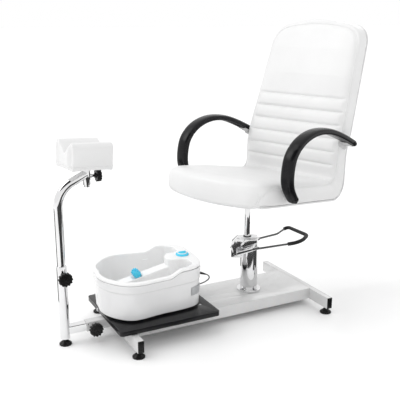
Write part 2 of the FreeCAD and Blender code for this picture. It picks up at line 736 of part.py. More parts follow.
def arm_blocks():
    """Hardwood blocks on the shell that take the armrest bolts."""
    inner = COVER_THICK + SHELL_THICK
    layer = shell_layer(inner, inner + 42, 300)
    blocks = []
    for y, z in ARM_BOLTS:
        block = layer.common(box(SEAT_HALF - 62, SEAT_HALF - 10, y - 30, y + 30, z - 60, z + 32))
        block = block.cut(rod(4.05, V(180, y, z), V(300, y, z)))
        blocks += [block, mirrored(block)]
    return group(blocks)


def pad_form():
    """The seat pad's outer form from its front to the crease: its top rises towards the front, and its
    edges are rounded along the top and under the nose."""
    thick = SEAT_THICK / math.cos(math.radians(SEAT_SLOPE))
    front, rear = -400, CREASE_Y
    profile = [(front, underside_z(front)), (front, underside_z(front) + thick + FRONT_RISE),
               (rear, underside_z(rear) + thick), (rear, underside_z(rear))]
    form = seat_outline(-3).common(across(side_face(profile), 400))

    def on_top(edge):
        middle = edge.valueAt((edge.FirstParameter + edge.LastParameter) / 2)
        return middle.z > underside_z(middle.y) + SEAT_THICK - 1

    flat_edges = [e for e in form.Edges if e.BoundBox.XLength + e.BoundBox.YLength > 5
                  and e.BoundBox.YMin < rear - 1]
    top = [e for e in flat_edges if on_top(e)]
    under = [e for e in flat_edges if not on_top(e)]
    return form.makeFillet(TOP_ROUND, top), form.makeFillet(NOSE_ROUND, under)


def front_of_seat():
    """The seat pad ahead of the crease, before it is cut round the shell."""
    topped, nosed = pad_form()
    above = COVER_THICK / math.cos(math.radians(SEAT_SLOPE))
    front, rear = SEAT_FRONT + 60, CREASE_Y
    over_cover = side_face([(front, underside_z(front) + above), (front, 900), (rear, 900),
                            (rear, underside_z(rear) + above)])
    thick = topped.common(across(over_cover, 400))
    nose = topped.common(nosed).common(nose_zone())
    return thick.fuse(nose).removeSplitter().common(seat_outline(0))


def pads():
    """The seat pad and the back pad, which meet at the foot of the back and wrap the shell's edges."""
    seat_side = side_face([(-400, 300), (400, 300), (400, 470), (252, 590), (252, 720), (-400, 720)])
    seat_zone = across(seat_side, 400)
    outline = chair_outline(0)
    rear = shell_layer(COVER_THICK, SEAT_THICK, 300).common(outline).common(seat_zone)
    rear = rear.common(box(-400, 400, CREASE_Y, 500, 300, 900))
    seat = front_of_seat().fuse(rear).removeSplitter()
    back = shell_layer(COVER_THICK, BACK_THICK, 300).common(outline).cut(seat_zone)
    tools = [cover_blank(), shell_blank(8), arm_blocks()]
    tools += [rod(4.3, V(-300, y, z), V(300, y, z)) for y, z in ARM_BOLTS]
    for tool in tools:
        seat = seat.cut(tool)
        back = back.cut(tool)
    return seat, back


def armrest():
    """One C-shaped arm, on the +x side."""
    control = [(-66, 560), (-105, 606), (-116, 664), (-98, 748), (-23, 805), (84, 825), (214, 802),
               (353, 739)]
    path = rounded_path([V(0, y, z) for y, z in control])
    inner = path.makeOffset2D(-ARM_THICK / 2, openResult=True)
    band = inner.makeOffset2D(ARM_THICK, fill=True, openResult=True)
    body = band.extrude(V(ARM_WIDTH, 0, 0))
    body.translate(V(ARM_X - ARM_WIDTH / 2, 0, 0))
    body = body.makeFillet(7, [e for e in body.Edges if e.BoundBox.XLength < 0.01 and e.Length > 40])
    for y, z in ARM_BOLTS:
        boss = rod(15, V(ARM_X - ARM_WIDTH / 2, y, z), V(ARM_X + ARM_WIDTH / 2 - 3, y, z))
        body = body.fuse(boss)
    body = body.removeSplitter()
    for y, z in ARM_BOLTS:
        body = body.cut(rod(4.2, V(200, y, z), V(400, y, z)))
        body = body.cut(rod(8, V(ARM_X + 8, y, z), V(400, y, z)))
    return body


def arm_bolts():
    """The armrest bolts, each with its collar between the arm and the upholstery."""
    bolts = []
    for (y, z), side in zip(ARM_BOLTS, (SEAT_HALF, BACK_HALF)):
        head = rod(7.5, V(ARM_X + 8, y, z), V(ARM_X + 14, y, z))
        shank = rod(4, V(SEAT_HALF - 55, y, z), V(ARM_X + 8, y, z))
        collar = rod(12, V(side + GAP, y, z), V(ARM_X - ARM_WIDTH / 2, y, z))
        bolt = join([head, shank, collar])
        bolts += [bolt, mirrored(bolt)]
    return group(bolts)


def chair_frame(shape):
    return turned(shape, SEAT_TURN)


# ---- foot bath ----------------------------------------------------------------------------------
def tub_frame(shape):
    """Places a piece drawn about the tub's own centre."""
    shape = turned(shape, TUB_TURN)
    shape.translate(TUB_CENTRE)
    return shape


# half outlines of the tub from front to rear: (half width, y), at its bottom and at its rim
BOTTOM_OUTLINE = ((0, -205), (62, -200), (122, -169), (169, -110), (160, -14), (149, 84), (142, 132),
                  (124, 182), (100, 202), (58, 213), (0, 215))
RIM_OUTLINE = ((0, -214), (64, -210), (129, -176), (178, -112), (178, -16), (164, 84), (156, 132),
               (135, 184), (109, 204), (62, 213), (0, 215))


def tub_ring(grow, z):
    """The tub's outline at a height: a wide round front and a narrower rear."""
    share = (z - TUB_BOTTOM) / (LOW_RIM - TUB_BOTTOM)
    half = []
    for (x0, y0), (x1, y1) in zip(BOTTOM_OUTLINE, RIM_OUTLINE):
        x, y = x0 + (x1 - x0) * share, y0 + (y1 - y0) * share
        out = V(x / 180, y / 205, 0).normalize()
        half.append(V(x, y, z) + V(out.x * grow, out.y * grow, 0))
    left = [V(-p.x, p.y, z) for p in half[1:-1]]
    curve = Part.BSplineCurve()
    curve.interpolate(half + left[::-1], PeriodicFlag=True)
    return Part.Wire(curve.toShape())


def tub_body(grow, z0, z1):
    """The tub's outer form between two heights, flaring upwards."""
    return Part.makeLoft([tub_ring(grow, z0), tub_ring(grow, z1)], True, True)


def below_rim(drop):
    """The space below the stepped rim: low along the front, higher round the rear."""
    low, high = LOW_RIM - drop, HIGH_RIM - drop
    points = [V(0, -400, low), V(0, 56, low), V(0, 98, high), V(0, 400, high)]
    path = rounded_path(points, [40, 40])
    rest = Part.makePolygon([V(0, 400, high), V(0, 400, 0), V(0, -400, 0), V(0, -400, low)])
    face = Part.Face(Part.Wire(Part.__sortEdges__(path.Edges + rest.Edges)))
    return across(face, 400)


def well_space(grow, floor, ledge_drop):
    """The two foot wells: the tub's inside, less the middle ridge and the rear console."""
    space = tub_body(grow - RIM_WIDE, floor, 330)
    wide = 26 - grow
    ridge_line = side_face([(-400, 100), (-400, ridge_top(-130) - ledge_drop),
                            (-130, ridge_top(-130) - ledge_drop), (90, ridge_top(90) - ledge_drop),
                            (400, ridge_top(90) - ledge_drop), (400, 100)])
    space = space.cut(across(ridge_line, wide))
    pocket = box(-21.5 - grow, 21.5 + grow, ROLLER_AT.y - 20 - grow, ROLLER_AT.y + 20 + grow,
                 ROLLER_AT.z - 20 - grow, 280)
    space = space.fuse(pocket)
    deck = rear_deck(grow)
    if ledge_drop:
        deck = deck.common(box(-400, 400, -400, 500, 0, HIGH_RIM - ledge_drop))
    return space.cut(deck)


def rear_deck(grow):
    """The solid behind the wells: a rounded console between them and a deck across the rear."""
    console = [V(0, 90), V(45, 90), V(45, 168), V(112, 168), V(160, 112)]
    path = rounded_path([V(-400, 112)] + [V(-p.x, p.y) for p in console[:0:-1]] + console[1:] + [V(400, 112)],
                        [20, 30, 28, 40, 40, 28, 30, 20])
    rest = Part.makePolygon([V(400, 112), V(400, 500), V(-400, 500), V(-400, 112)])
    face = Part.Face(Part.Wire(Part.__sortEdges__(path.Edges + rest.Edges)))
    if grow:
        face = face.makeOffset2D(-grow)
    return face.extrude(V(0, 0, 400))


def tub_basin():
    """The upper moulding: rim, wells, ridge and console in one thin wall."""
    outside = well_space(TUB_WALL, WELL_FLOOR - TUB_WALL, TUB_WALL).common(below_rim(0))
    rim = tub_body(0, LOW_RIM - 40, 330).common(below_rim(0)).cut(below_rim(RIM_DEPTH))
    wells = well_space(0, WELL_FLOOR, 0)
    body = outside.fuse(rim).cut(wells).removeSplitter()
    knob = V(KNOB_AT.x, KNOB_AT.y, HIGH_RIM)
    body = body.cut(rod(4.08, knob - V(0, 0, 20), knob + V(0, 0, 5)))
    return body.cut(rod(2.06, ROLLER_AT - V(26, 0, 0), ROLLER_AT + V(26, 0, 0)))


KNOB_AT = V(0, 168, 0)
ROLLER_AT = V(0, -40, 241)


def tub_housing():
    """The lower moulding: outer wall and bottom."""
    outer = tub_body(0, TUB_BOTTOM, 330)
    inner = tub_body(-TUB_WALL, TUB_BOTTOM + TUB_WALL, 330)
    body = outer.cut(inner).common(below_rim(RIM_DEPTH))
    return body


def tub_feet():
    feet = []
    for x, y in ((-115, -130), (115, -130), (-105, 130), (105, 130)):
        feet.append(rod(12, V(x, y, TRAY_TOP), V(x, y, TUB_BOTTOM)))
    return group(feet)


def control_knob():
    """The mode knob, a low dome with a grip bar, on a shaft through the console."""
    base = V(KNOB_AT.x, KNOB_AT.y, HIGH_RIM + 0.4)
    ball = Part.makeSphere(46, base - V(0, 0, 34))
    dial = join([rod(28, base, base + V(0, 0, 4)), ball.common(rod(27, base, base + V(0, 0, 14)))])
    grip = box(-4, 4, KNOB_AT.y - 15, KNOB_AT.y + 15, base.z + 6, base.z + 14)
    stem = rod(4, base - V(0, 0, 18), base + V(0, 0, 3))
    return join([dial, grip, stem])


def control_switch():
    """The rotary switch under the console."""
    top = HIGH_RIM - RIM_DEPTH
    return rod(16, V(KNOB_AT.x, KNOB_AT.y, top - 22), V(KNOB_AT.x, KNOB_AT.y, top)).cut(
        rod(4.08, V(KNOB_AT.x, KNOB_AT.y, top - 16), V(KNOB_AT.x, KNOB_AT.y, top)))


def massage_roller():
    """Five toothed wheels on a core, in the ridge's pocket, on their pin."""
    half, pitch, teeth = 20.5, 8.7, 10
    body = rod(10, ROLLER_AT - V(half, 0, 0), ROLLER_AT + V(half, 0, 0))
    for row in range(-2, 3):
        left, right = (ROLLER_AT + V(row * pitch + side, 0, 0) for side in (-2.6, 2.6))
        body = body.fuse(rod(13.5, left, right))
        for i in range(teeth):
            a = math.radians(360 / teeth * (i + row / 2))
            out = V(0, math.cos(a), math.sin(a)) * 14
            body = body.fuse(rod(2.8, left + out, right + out))
    body = body.fuse(rod(2, ROLLER_AT - V(25, 0, 0), ROLLER_AT + V(25, 0, 0)))
    return body.removeSplitter()


def ridge_top(y):
    return 208 + (y + 130) * 50 / 220


def rating_plate():
    """A blank plate that follows the wall at the rear corner."""
    skin = tub_body(1.2, TUB_BOTTOM + 20, 200).cut(tub_body(0, TUB_BOTTOM, 220))
    return skin.common(box(107, 160, 150, 260, 163, 207))


# ---- power cord ---------------------------------------------------------------------------------

def cord_route():
    """The cord's free stretch, from the strain relief to the coil on the floor."""
    return [V(91, -258, 227), V(89, -242, 220), V(78, -231, 198), V(52, -240, 174), V(14, -247, 152),
            V(-32, -244, 126), V(-80, -236, 103), V(-124, -226, 90), V(-151, -214, 58),
            V(-160, -200, 22), V(-158, -176, 7), V(-156, -146, 7)]


def strain_relief():
    """A tapered sleeve from the tub's wall to the cord."""
    end, onward = cord_route()[:2]
    start = end - (onward - end).normalize() * 42
    return cone(6, 3.4, start, end).cut(tub_frame(tub_body(0, TUB_BOTTOM, 330)))


def power_cord():
    points = cord_route()
    radii = [corner_radius(*points[i - 1:i + 2]) for i in range(1, len(points) - 1)]
    return swept(rounded_path(points, radii), CORD_R)


def cord_coil():
    inner, outer = COIL_RADII
    return tube(outer, inner, COIL_CENTRE, COIL_CENTRE + V(0, 0, COIL_HEIGHT))


def plug():
    """A two-pin plug lying on the floor beside the coil, its tail against the coil."""
    tail = COIL_CENTRE + V(-31.4, -22, 9)
    sleeve = cone(3.4, 6, tail, tail - V(0, 24, 0))
    body = box(tail.x - 10, tail.x + 10, tail.y - 58, tail.y - 24, 1, 17)
    pins = [rod(2.4, V(tail.x + x, tail.y - 58, 9), V(tail.x + x, tail.y - 77, 9)) for x in (-6, 6)]
    return join([sleeve, body] + pins)


# ---- assembly -----------------------------------------------------------------------------------
def build():
    """Makes every piece, by name."""
    parts = {}
    add = parts.__setitem__
    add("base_platform", platform())
    front = cross_tube(FRONT_TUBE_Y)
    half = SLEEVE_SIDE / 2
    slot = box(-half, half, FRONT_TUBE_Y - 20, FRONT_TUBE_Y + 20, SLIDE_Z - half, TUBE_TOP + 1)
    add("front_cross_tube", front.cut(slot))
    add("rear_cross_tube", cross_tube(REAR_TUBE_Y))
    add("tube_end_caps", tube_end_caps())
    names = ("foot_front_right", "foot_front_left", "foot_rear_right", "foot_rear_left", "foot_post")
    for name, place in zip(names, foot_positions()):
        add(name, levelling_foot(place))
    add("tray", tray())
    add("tray_pads", tray_pads())
    add("tray_screws", tray_screws())

    add("extension_sleeve", extension_sleeve())
    add("extension_tube", extension_tube())
    add("lower_post", lower_post())
    add("upper_post", upper_post())
    x, y = V(1, 0, 0), V(0, 1, 0)
    tip = V(SLIDE_SIDE / 2 + GAP, EXTENSION_KNOB.y, EXTENSION_KNOB.z)
    add("extension_knob", clamp_knob(tip, EXTENSION_KNOB, x, LARGE_KNOB_R))
    tip = V(UPPER_POST_R + GAP, POST_Y, POST_KNOB_Z)
    add("post_knob", clamp_knob(tip, POST_KNOB, x, LARGE_KNOB_R))
    tip = V(0, STEM_Y + STEM_R + GAP, FOOTREST_KNOB.z)
    add("footrest_knob", clamp_knob(tip, FOOTREST_KNOB, y, SMALL_KNOB_R))
    add("footrest_stem", footrest_stem())
    add("footrest_screws", footrest_screws())
    add("footrest_board", footrest_board())
    add("footrest_cushion", footrest_cushion())

    add("pump_flange", pump_flange())
    add("pump_bolts", pump_bolts())
    add("pump_column", pump_column())
    add("pump_cap", pump_cap())
    add("rod_seal", rod_seal())
    add("pump_cylinder", pump_cylinder())
    add("pump_head", pump_head())
    add("pump_plunger", pump_plunger())
    add("pedal_yoke", pedal_yoke())
    add("pedal_loop", pedal_loop())
    add("pedal_grip", pedal_grip())
    add("return_spring", return_spring())
    add("lift_rod", lift_rod())
    add("lift_piston", lift_piston())

    add("seat_hub", chair_frame(seat_hub()))
    add("swivel_bush", chair_frame(swivel_bush()))
    add("seat_plate", chair_frame(seat_plate()))
    add("seat_bolts", chair_frame(seat_bolts()))
    add("rear_cover", chair_frame(rear_cover()))
    add("seat_shell", chair_frame(seat_shell()))
    add("arm_blocks", chair_frame(arm_blocks()))
    seat, back = pads()
    add("seat_pad", chair_frame(seat))
    add("back_pad", chair_frame(back))
    arm = armrest()
    add("armrest_left", chair_frame(arm))
    add("armrest_right", chair_frame(mirrored(arm)))
    add("arm_bolts", chair_frame(arm_bolts()))

    add("tub_basin", tub_frame(tub_basin()))
    add("tub_housing", tub_frame(tub_housing()))
    add("tub_feet", tub_frame(tub_feet()))
    add("control_knob", tub_frame(control_knob()))
    add("control_switch", tub_frame(control_switch()))
    add("massage_roller", tub_frame(massage_roller()))
    add("rating_plate", tub_frame(rating_plate()))
    add("strain_relief", strain_relief())
    add("power_cord", power_cord())
    add("cord_coil", cord_coil())
    add("plug", plug())
    return parts


def export(parts):
    os.makedirs("parts", exist_ok=True)
    for name, shape in parts.items():
        shape = shape.copy()
        shape.translate(-ORIGIN_FROM_ROD)
        if not shape.isValid():
            print("invalid", name)
        shape.exportStep(f"parts/{name}.step")


if __name__ == "__main__":
    export(build())
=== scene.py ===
import json
import math

import bmesh
import bpy
import numpy as np
from mathutils import Matrix, Vector
from mathutils.bvhtree import BVHTree


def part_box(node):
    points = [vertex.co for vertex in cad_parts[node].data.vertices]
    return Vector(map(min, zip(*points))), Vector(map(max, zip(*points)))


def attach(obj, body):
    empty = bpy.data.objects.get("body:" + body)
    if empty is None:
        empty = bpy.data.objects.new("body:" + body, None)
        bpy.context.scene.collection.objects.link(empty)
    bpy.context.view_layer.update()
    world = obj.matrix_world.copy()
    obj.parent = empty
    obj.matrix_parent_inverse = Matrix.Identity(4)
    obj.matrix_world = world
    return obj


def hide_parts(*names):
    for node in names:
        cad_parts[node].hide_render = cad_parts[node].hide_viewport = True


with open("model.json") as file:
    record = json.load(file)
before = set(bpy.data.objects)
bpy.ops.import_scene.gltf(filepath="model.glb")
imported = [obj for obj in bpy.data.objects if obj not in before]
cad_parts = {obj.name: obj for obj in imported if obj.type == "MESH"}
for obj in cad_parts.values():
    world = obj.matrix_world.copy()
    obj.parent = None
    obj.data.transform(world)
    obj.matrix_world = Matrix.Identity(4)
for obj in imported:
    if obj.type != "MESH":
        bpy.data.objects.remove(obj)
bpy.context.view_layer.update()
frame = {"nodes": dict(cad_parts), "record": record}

NODES = frame["nodes"]
BODY_OF = {n: b for b, nodes in frame["record"]["behaviour"]["bodies"].items() for n in nodes}
SLOT_OF = {s["node"]: s["material_slot"] for s in frame["record"]["subparts"]}

ROD_AT = Vector((0.0375, 0.1425, 0.0))           # the lift rod's axis in the row's frame
SEAT_TURN = math.radians(19)
TUB_AT, TUB_TURN = ROD_AT + Vector((-0.017, -0.487, 0)), math.radians(-3.8)


# ---- materials ----------------------------------------------------------------------------------
def new_material(name):
    material = bpy.data.materials.new(name)
    material.use_nodes = True
    tree = material.node_tree
    shader = tree.nodes["Principled BSDF"]
    place = tree.nodes.new("ShaderNodeTexCoord")
    return material, tree, shader, place.outputs["Object"]


def grey(tone):
    return (tone, tone, tone)


def noise_of(tree, place, scale, detail=3.0, stretch=None):
    if stretch is not None:
        mapping = tree.nodes.new("ShaderNodeMapping")
        mapping.inputs["Scale"].default_value = stretch
        tree.links.new(place, mapping.inputs["Vector"])
        place = mapping.outputs["Vector"]
    node = tree.nodes.new("ShaderNodeTexNoise")
    node.inputs["Scale"].default_value = scale
    node.inputs["Detail"].default_value = detail
    tree.links.new(place, node.inputs["Vector"])
    return node.outputs["Fac"]


def ramp(tree, value, stops):
    node = tree.nodes.new("ShaderNodeValToRGB")
    points = node.color_ramp.elements
    while len(points) < len(stops):
        points.new(0.5)
    for point, (at, colour) in zip(points, stops):
        point.position = at
        point.color = (*colour, 1)
    tree.links.new(value, node.inputs["Fac"])
    return node.outputs["Color"]


def spread(tree, value, low, high):
    node = tree.nodes.new("ShaderNodeMapRange")
    node.inputs["To Min"].default_value = low
    node.inputs["To Max"].default_value = high
    tree.links.new(value, node.inputs["Value"])
    return node.outputs["Result"]


def bump(tree, shader, height, distance, strength=1.0, under=None):
    node = tree.nodes.new("ShaderNodeBump")
    node.inputs["Distance"].default_value = distance
    node.inputs["Strength"].default_value = strength
    tree.links.new(height, node.inputs["Height"])
    if under is not None:
        tree.links.new(under, node.inputs["Normal"])
    tree.links.new(node.outputs["Normal"], shader.inputs["Normal"])
    return node.outputs["Normal"]


def finish_of(name, dark, light, rough, grain=(), cloud=9.0, metal=0.0, coat=0.0, stretch=None,
              glow=0.0, gloss=0.5):
    """A surface whose colour drifts between two tones, with its own roughness range and grain."""
    material, tree, shader, place = new_material(name)
    tone = noise_of(tree, place, cloud, 4, stretch)
    tree.links.new(ramp(tree, tone, [(0.3, dark), (0.7, light)]), shader.inputs["Base Color"])
    wear = noise_of(tree, place, cloud * 5, 5, stretch)
    tree.links.new(spread(tree, wear, *rough), shader.inputs["Roughness"])
    shader.inputs["Metallic"].default_value = metal
    shader.inputs["Specular IOR Level"].default_value = gloss
    shader.inputs["Coat Weight"].default_value = coat
    shader.inputs["Coat Roughness"].default_value = 0.08
    if glow:
        shader.inputs["Subsurface Weight"].default_value = glow
        shader.inputs["Subsurface Radius"].default_value = (0.004, 0.004, 0.004)
    under = None
    for scale, depth, share in grain:
        under = bump(tree, shader, noise_of(tree, place, scale, 2, stretch), depth, share, under)
    return material


def leather_like(name, dark, light, rough, depth=0.00012):
    """Vinyl with a fine pebbled grain, faint creases and a soft sheen."""
    material, tree, shader, place = new_material(name)
    tone = noise_of(tree, place, 6, 4)
    tree.links.new(ramp(tree, tone, [(0.25, dark), (0.75, light)]), shader.inputs["Base Color"])
    wear = noise_of(tree, place, 38, 4)
    tree.links.new(spread(tree, wear, *rough), shader.inputs["Roughness"])
    shader.inputs["Coat Weight"].default_value = 0.12
    shader.inputs["Coat Roughness"].default_value = 0.3
    shader.inputs["Sheen Weight"].default_value = 0.08
    cells = tree.nodes.new("ShaderNodeTexVoronoi")
    cells.feature = "SMOOTH_F1"
    cells.inputs["Scale"].default_value = 720
    tree.links.new(place, cells.inputs["Vector"])
    under = bump(tree, shader, cells.outputs["Distance"], depth, 0.7)
    under = bump(tree, shader, noise_of(tree, place, 95, 3), depth * 2.5, 0.35, under)
    bump(tree, shader, noise_of(tree, place, 14, 2), depth * 14, 0.3, under)
    return material


def chrome_like(name, tone=0.82, rough=(0.03, 0.09)):
    return finish_of(name, grey(tone * 0.94), (tone, tone, tone * 1.01), rough,
                     [(60, 0.00003, 0.4)], cloud=16, metal=1.0)


WHITE_VINYL = leather_like("white_vinyl", grey(0.735), grey(0.775), (0.34, 0.46))
WHITE_WELT = leather_like("white_welt", grey(0.74), grey(0.80), (0.4, 0.5), 0.00008)
WHITE_THREAD = finish_of("white_thread", (0.72, 0.72, 0.70), (0.82, 0.82, 0.80), (0.6, 0.8),
                         [(900, 0.0001, 0.8)], cloud=60)
COVER_VINYL = leather_like("cover_vinyl", grey(0.70), grey(0.75), (0.42, 0.55), 0.00016)
# White powder coat with its colour set grey: painted shade that stands in for the darker reflection on
# the steel.
POWDER_COAT_PAINTED_SHADE = finish_of("white_powder_coat", grey(0.60), grey(0.66), (0.16, 0.3),
                        [(420, 0.00006, 0.5), (90, 0.0001, 0.25)], coat=0.35)
TUB_PLASTIC = finish_of("white_tub_plastic", (0.74, 0.74, 0.745), (0.785, 0.785, 0.79), (0.14, 0.24),
                        [(55, 0.00012, 0.2)], cloud=7, coat=0.25, glow=0.04)
# A lighter copy of the tub's white plastic for the basin: painted light that offsets the shade inside
# the basin.
BASIN_PLASTIC_PAINTED_LIGHT = finish_of("white_basin_plastic", grey(0.88), grey(0.92), (0.14, 0.24),
                          [(55, 0.00012, 0.2)], cloud=7, coat=0.25)
BLACK_BOARD = finish_of("black_laminate", (0.005, 0.005, 0.006), (0.009, 0.009, 0.010), (0.22, 0.28),
                        [(520, 0.00002, 0.4)], cloud=9, gloss=0.28)
BLACK_GLOSS = finish_of("black_arm_plastic", (0.003, 0.003, 0.004), (0.007, 0.007, 0.008), (0.16, 0.28),
                        [(640, 0.00002, 0.3)], cloud=11, gloss=0.22)
BLACK_PLASTIC = finish_of("black_moulded_plastic", grey(0.004), grey(0.011), (0.2, 0.34),
                          [(800, 0.00004, 0.5)], cloud=30, gloss=0.2)
BLACK_RUBBER = finish_of("black_rubber", grey(0.006), grey(0.016), (0.4, 0.6),
                         [(420, 0.0001, 0.6)], cloud=30, gloss=0.3)
CORD_RUBBER = finish_of("cord_rubber", grey(0.012), grey(0.028), (0.36, 0.5),
                        [(300, 0.0001, 0.4)], cloud=40)
CYAN_PLASTIC = finish_of("cyan_plastic", (0.02, 0.55, 0.84), (0.10, 0.72, 0.93), (0.12, 0.22),
                         [(120, 0.00008, 0.3)], cloud=30, coat=0.4, glow=0.1)
WHITE_MARK = finish_of("white_mark", (0.80, 0.82, 0.83), (0.88, 0.9, 0.9), (0.25, 0.35), cloud=50)
CHROME = chrome_like("polished_chrome")
PUMP_CHROME = chrome_like("pump_chrome", 0.78, (0.05, 0.13))
# A darkened copy of chrome for the pedal loop: painted shade, so that the rods look like steel in
# shadow.
PEDAL_CHROME_PAINTED_SHADE = chrome_like("dark_chrome", 0.16, (0.08, 0.18))
ZINC = finish_of("zinc_steel", (0.42, 0.42, 0.43), (0.62, 0.62, 0.64), (0.26, 0.42),
                 [(300, 0.00006, 0.5)], cloud=45, metal=0.9)
BRONZE = finish_of("bronze_bush", (0.42, 0.28, 0.12), (0.58, 0.40, 0.18), (0.3, 0.45),
                   [(260, 0.00005, 0.4)], cloud=40, metal=0.9)
PLATE_GREY = finish_of("grey_plate", (0.42, 0.43, 0.44), (0.52, 0.53, 0.54), (0.32, 0.45),
                       [(700, 0.00004, 0.4)], cloud=40, metal=0.5, stretch=(1, 1, 14))
PLYWOOD = finish_of("plywood", (0.42, 0.27, 0.15), (0.66, 0.48, 0.30), (0.55, 0.75),
                    [(160, 0.0002, 0.5)], cloud=12, stretch=(1, 6, 30))
BRACKET = finish_of("bracket_grey", grey(0.50), grey(0.62), (0.3, 0.45),
                    [(300, 0.00005, 0.4)], cloud=30)
FLAG_BLACK = finish_of("flag_black", grey(0.01), grey(0.02), (0.8, 0.9))
FLOOR_PALE = finish_of("floor_pale", grey(0.95), grey(0.97), (0.7, 0.8), cloud=3)

MATERIAL_OF = {
    "white_vinyl": WHITE_VINYL, "white_shell": COVER_VINYL, "plywood": PLYWOOD,
    "white_steel": POWDER_COAT_PAINTED_SHADE, "black_board": BLACK_BOARD, "black_arm": BLACK_GLOSS,
    "black_plastic": BLACK_PLASTIC, "black_rubber": BLACK_RUBBER,
    "white_plastic": TUB_PLASTIC, "blue_plastic": CYAN_PLASTIC,
    "grey_plate": PLATE_GREY, "chrome": CHROME, "zinc_steel": ZINC, "bronze": BRONZE,
    "black_cord": CORD_RUBBER,
}


# ---- mesh helpers -------------------------------------------------------------------------------
def place_object(name, mesh, body, material):
    piece = bpy.data.objects.new(name, mesh)
    bpy.context.scene.collection.objects.link(piece)
    mesh.materials.clear()
    mesh.materials.append(material)
    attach(piece, body)
    return piece


def from_faces(name, points, faces):
    mesh = bpy.data.meshes.new(name)
    mesh.from_pydata([tuple(p) for p in points], [], faces)
    mesh.validate()
    mesh.shade_smooth()
    return mesh


def welded(nodes):
    """The CAD nodes' meshes in one bmesh, with their doubled corner points joined."""
    made = bmesh.new()
    for node in nodes:
        made.from_mesh(NODES[node].data)
    bmesh.ops.remove_doubles(made, verts=made.verts, dist=1e-6)
    return made


def applied(piece):
    """Bakes the piece's modifiers into its mesh."""
    graph = bpy.context.evaluated_depsgraph_get()
    graph.update()
    mesh = bpy.data.meshes.new_from_object(piece.evaluated_get(graph), depsgraph=graph)
    piece.modifiers.clear()
    old = piece.data
    piece.data = mesh
    bpy.data.meshes.remove(old)


def get_points(mesh):
    data = np.empty(len(mesh.vertices) * 3)
    mesh.vertices.foreach_get("co", data)
    return data.reshape(-1, 3)


def set_points(mesh, points):
    mesh.vertices.foreach_set("co", np.asarray(points, float).ravel())
    mesh.update()


def get_normals(mesh):
    data = np.empty(len(mesh.vertices) * 3)
    mesh.vertex_normals.foreach_get("vector", data)
    return data.reshape(-1, 3)


FLAT = math.radians(0.8)                         # faces this close to one plane are joined
SHARP = math.radians(32)                         # edges sharper than this are rounded off


def refined(node, name, width=0.0012, segments=2, material=None):
    """The node's own shape with its sharp edges rounded off."""
    made = welded([node])
    bmesh.ops.dissolve_limit(made, angle_limit=FLAT, verts=made.verts, edges=made.edges)
    mesh = bpy.data.meshes.new(name)
    made.to_mesh(mesh)
    made.free()
    slot = SLOT_OF[node]
    piece = place_object(name, mesh, BODY_OF[node], material or MATERIAL_OF[slot])
    rounding = piece.modifiers.new("rounding", "BEVEL")
    rounding.width = width
    rounding.segments = segments
    rounding.limit_method = "ANGLE"
    rounding.angle_limit = SHARP
    rounding.use_clamp_overlap = True
    rounding.harden_normals = False
    applied(piece)
    smooth_by_angle(piece.data, 42)
    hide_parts(node)
    return piece


def smooth_by_angle(mesh, degrees):
    made = bmesh.new()
    made.from_mesh(mesh)
    limit = math.radians(degrees)
    for face in made.faces:
        face.smooth = True
    for edge in made.edges:
        edge.smooth = len(edge.link_faces) == 2 and edge.calc_face_angle(0) < limit
    made.to_mesh(mesh)
    made.free()


def turn_about(points, angle, centre):
    """Points turned about the vertical line through a centre."""
    p = np.asarray(points, float)
    c, s = math.cos(angle), math.sin(angle)
    x, y = p[:, 0], p[:, 1]
    return np.stack([x * c - y * s + centre[0], x * s + y * c + centre[1], p[:, 2]], 1)


def to_chair(points):
    """From the row's frame to the chair's own, where it faces -Y."""
    p = np.asarray(points, float) - np.array([ROD_AT.x, ROD_AT.y, 0])
    return turn_about(p, -SEAT_TURN, (0, 0))


def from_chair(points):
    return turn_about(points, SEAT_TURN, ROD_AT)


def to_tub(points):
    p = np.asarray(points, float) - np.array([TUB_AT.x, TUB_AT.y, 0])
    return turn_about(p, -TUB_TURN, (0, 0))


def from_tub(points):
    return turn_about(points, TUB_TURN, TUB_AT)


def smooth_line(points, closed=False, steps=10):
    """A Catmull-Rom line through the points."""
    p = np.asarray(points, float)
    count = len(p)
    spans = count if closed else count - 1
    line = []
    for i in range(spans):
        if closed:
            a, b, c, d = (p[(i + k) % count] for k in (-1, 0, 1, 2))
        else:
            a, b, c, d = p[max(i - 1, 0)], p[i], p[i + 1], p[min(i + 2, count - 1)]
        for t in np.linspace(0, 1, steps, endpoint=False):
            line.append(0.5 * (2 * b + (c - a) * t + (2 * a - 5 * b + 4 * c - d) * t ** 2
                               + (3 * b - a - 3 * c + d) * t ** 3))
    if not closed:
        line.append(p[-1])
    return np.array(line)


def ring_of(centre, side, up, radius, sides):
    """Points evenly round a circle that two unit vectors span."""
    turns = [2 * math.pi * k / sides for k in range(sides)]
    return [centre + radius * (side * math.cos(a) + up * math.sin(a)) for a in turns]


def ring_faces(rings, sides, first=0, closed=False):
    """The faces from each ring of points to the next, and an open tube's two end faces."""
    faces = []
    for i in range(rings if closed else rings - 1):
        a, b = first + i * sides, first + (i + 1) % rings * sides
        for k in range(sides):
            m = (k + 1) % sides
            faces.append((a + k, a + m, b + m, b + k))
    if not closed:
        last = first + (rings - 1) * sides
        faces.append(tuple(first + k for k in range(sides - 1, -1, -1)))
        faces.append(tuple(last + k for k in range(sides)))
    return faces


def tube_mesh(name, line, radius, sides, closed=False):
    """A round tube along a line."""
    count = len(line)
    ahead = np.roll(line, -1, 0) - np.roll(line, 1, 0)
    if not closed:
        ahead[0], ahead[-1] = line[1] - line[0], line[-1] - line[-2]
    ahead /= np.linalg.norm(ahead, axis=1)[:, None]
    side = np.cross(ahead[0], (0, 0, 1) if abs(ahead[0][2]) < 0.9 else (1, 0, 0))
    points = []
    for i in range(count):
        side = side - ahead[i] * np.dot(side, ahead[i])
        side /= np.linalg.norm(side)
        points += ring_of(line[i], side, np.cross(ahead[i], side), radius, sides)
    return from_faces(name, points, ring_faces(count, sides, closed=closed))


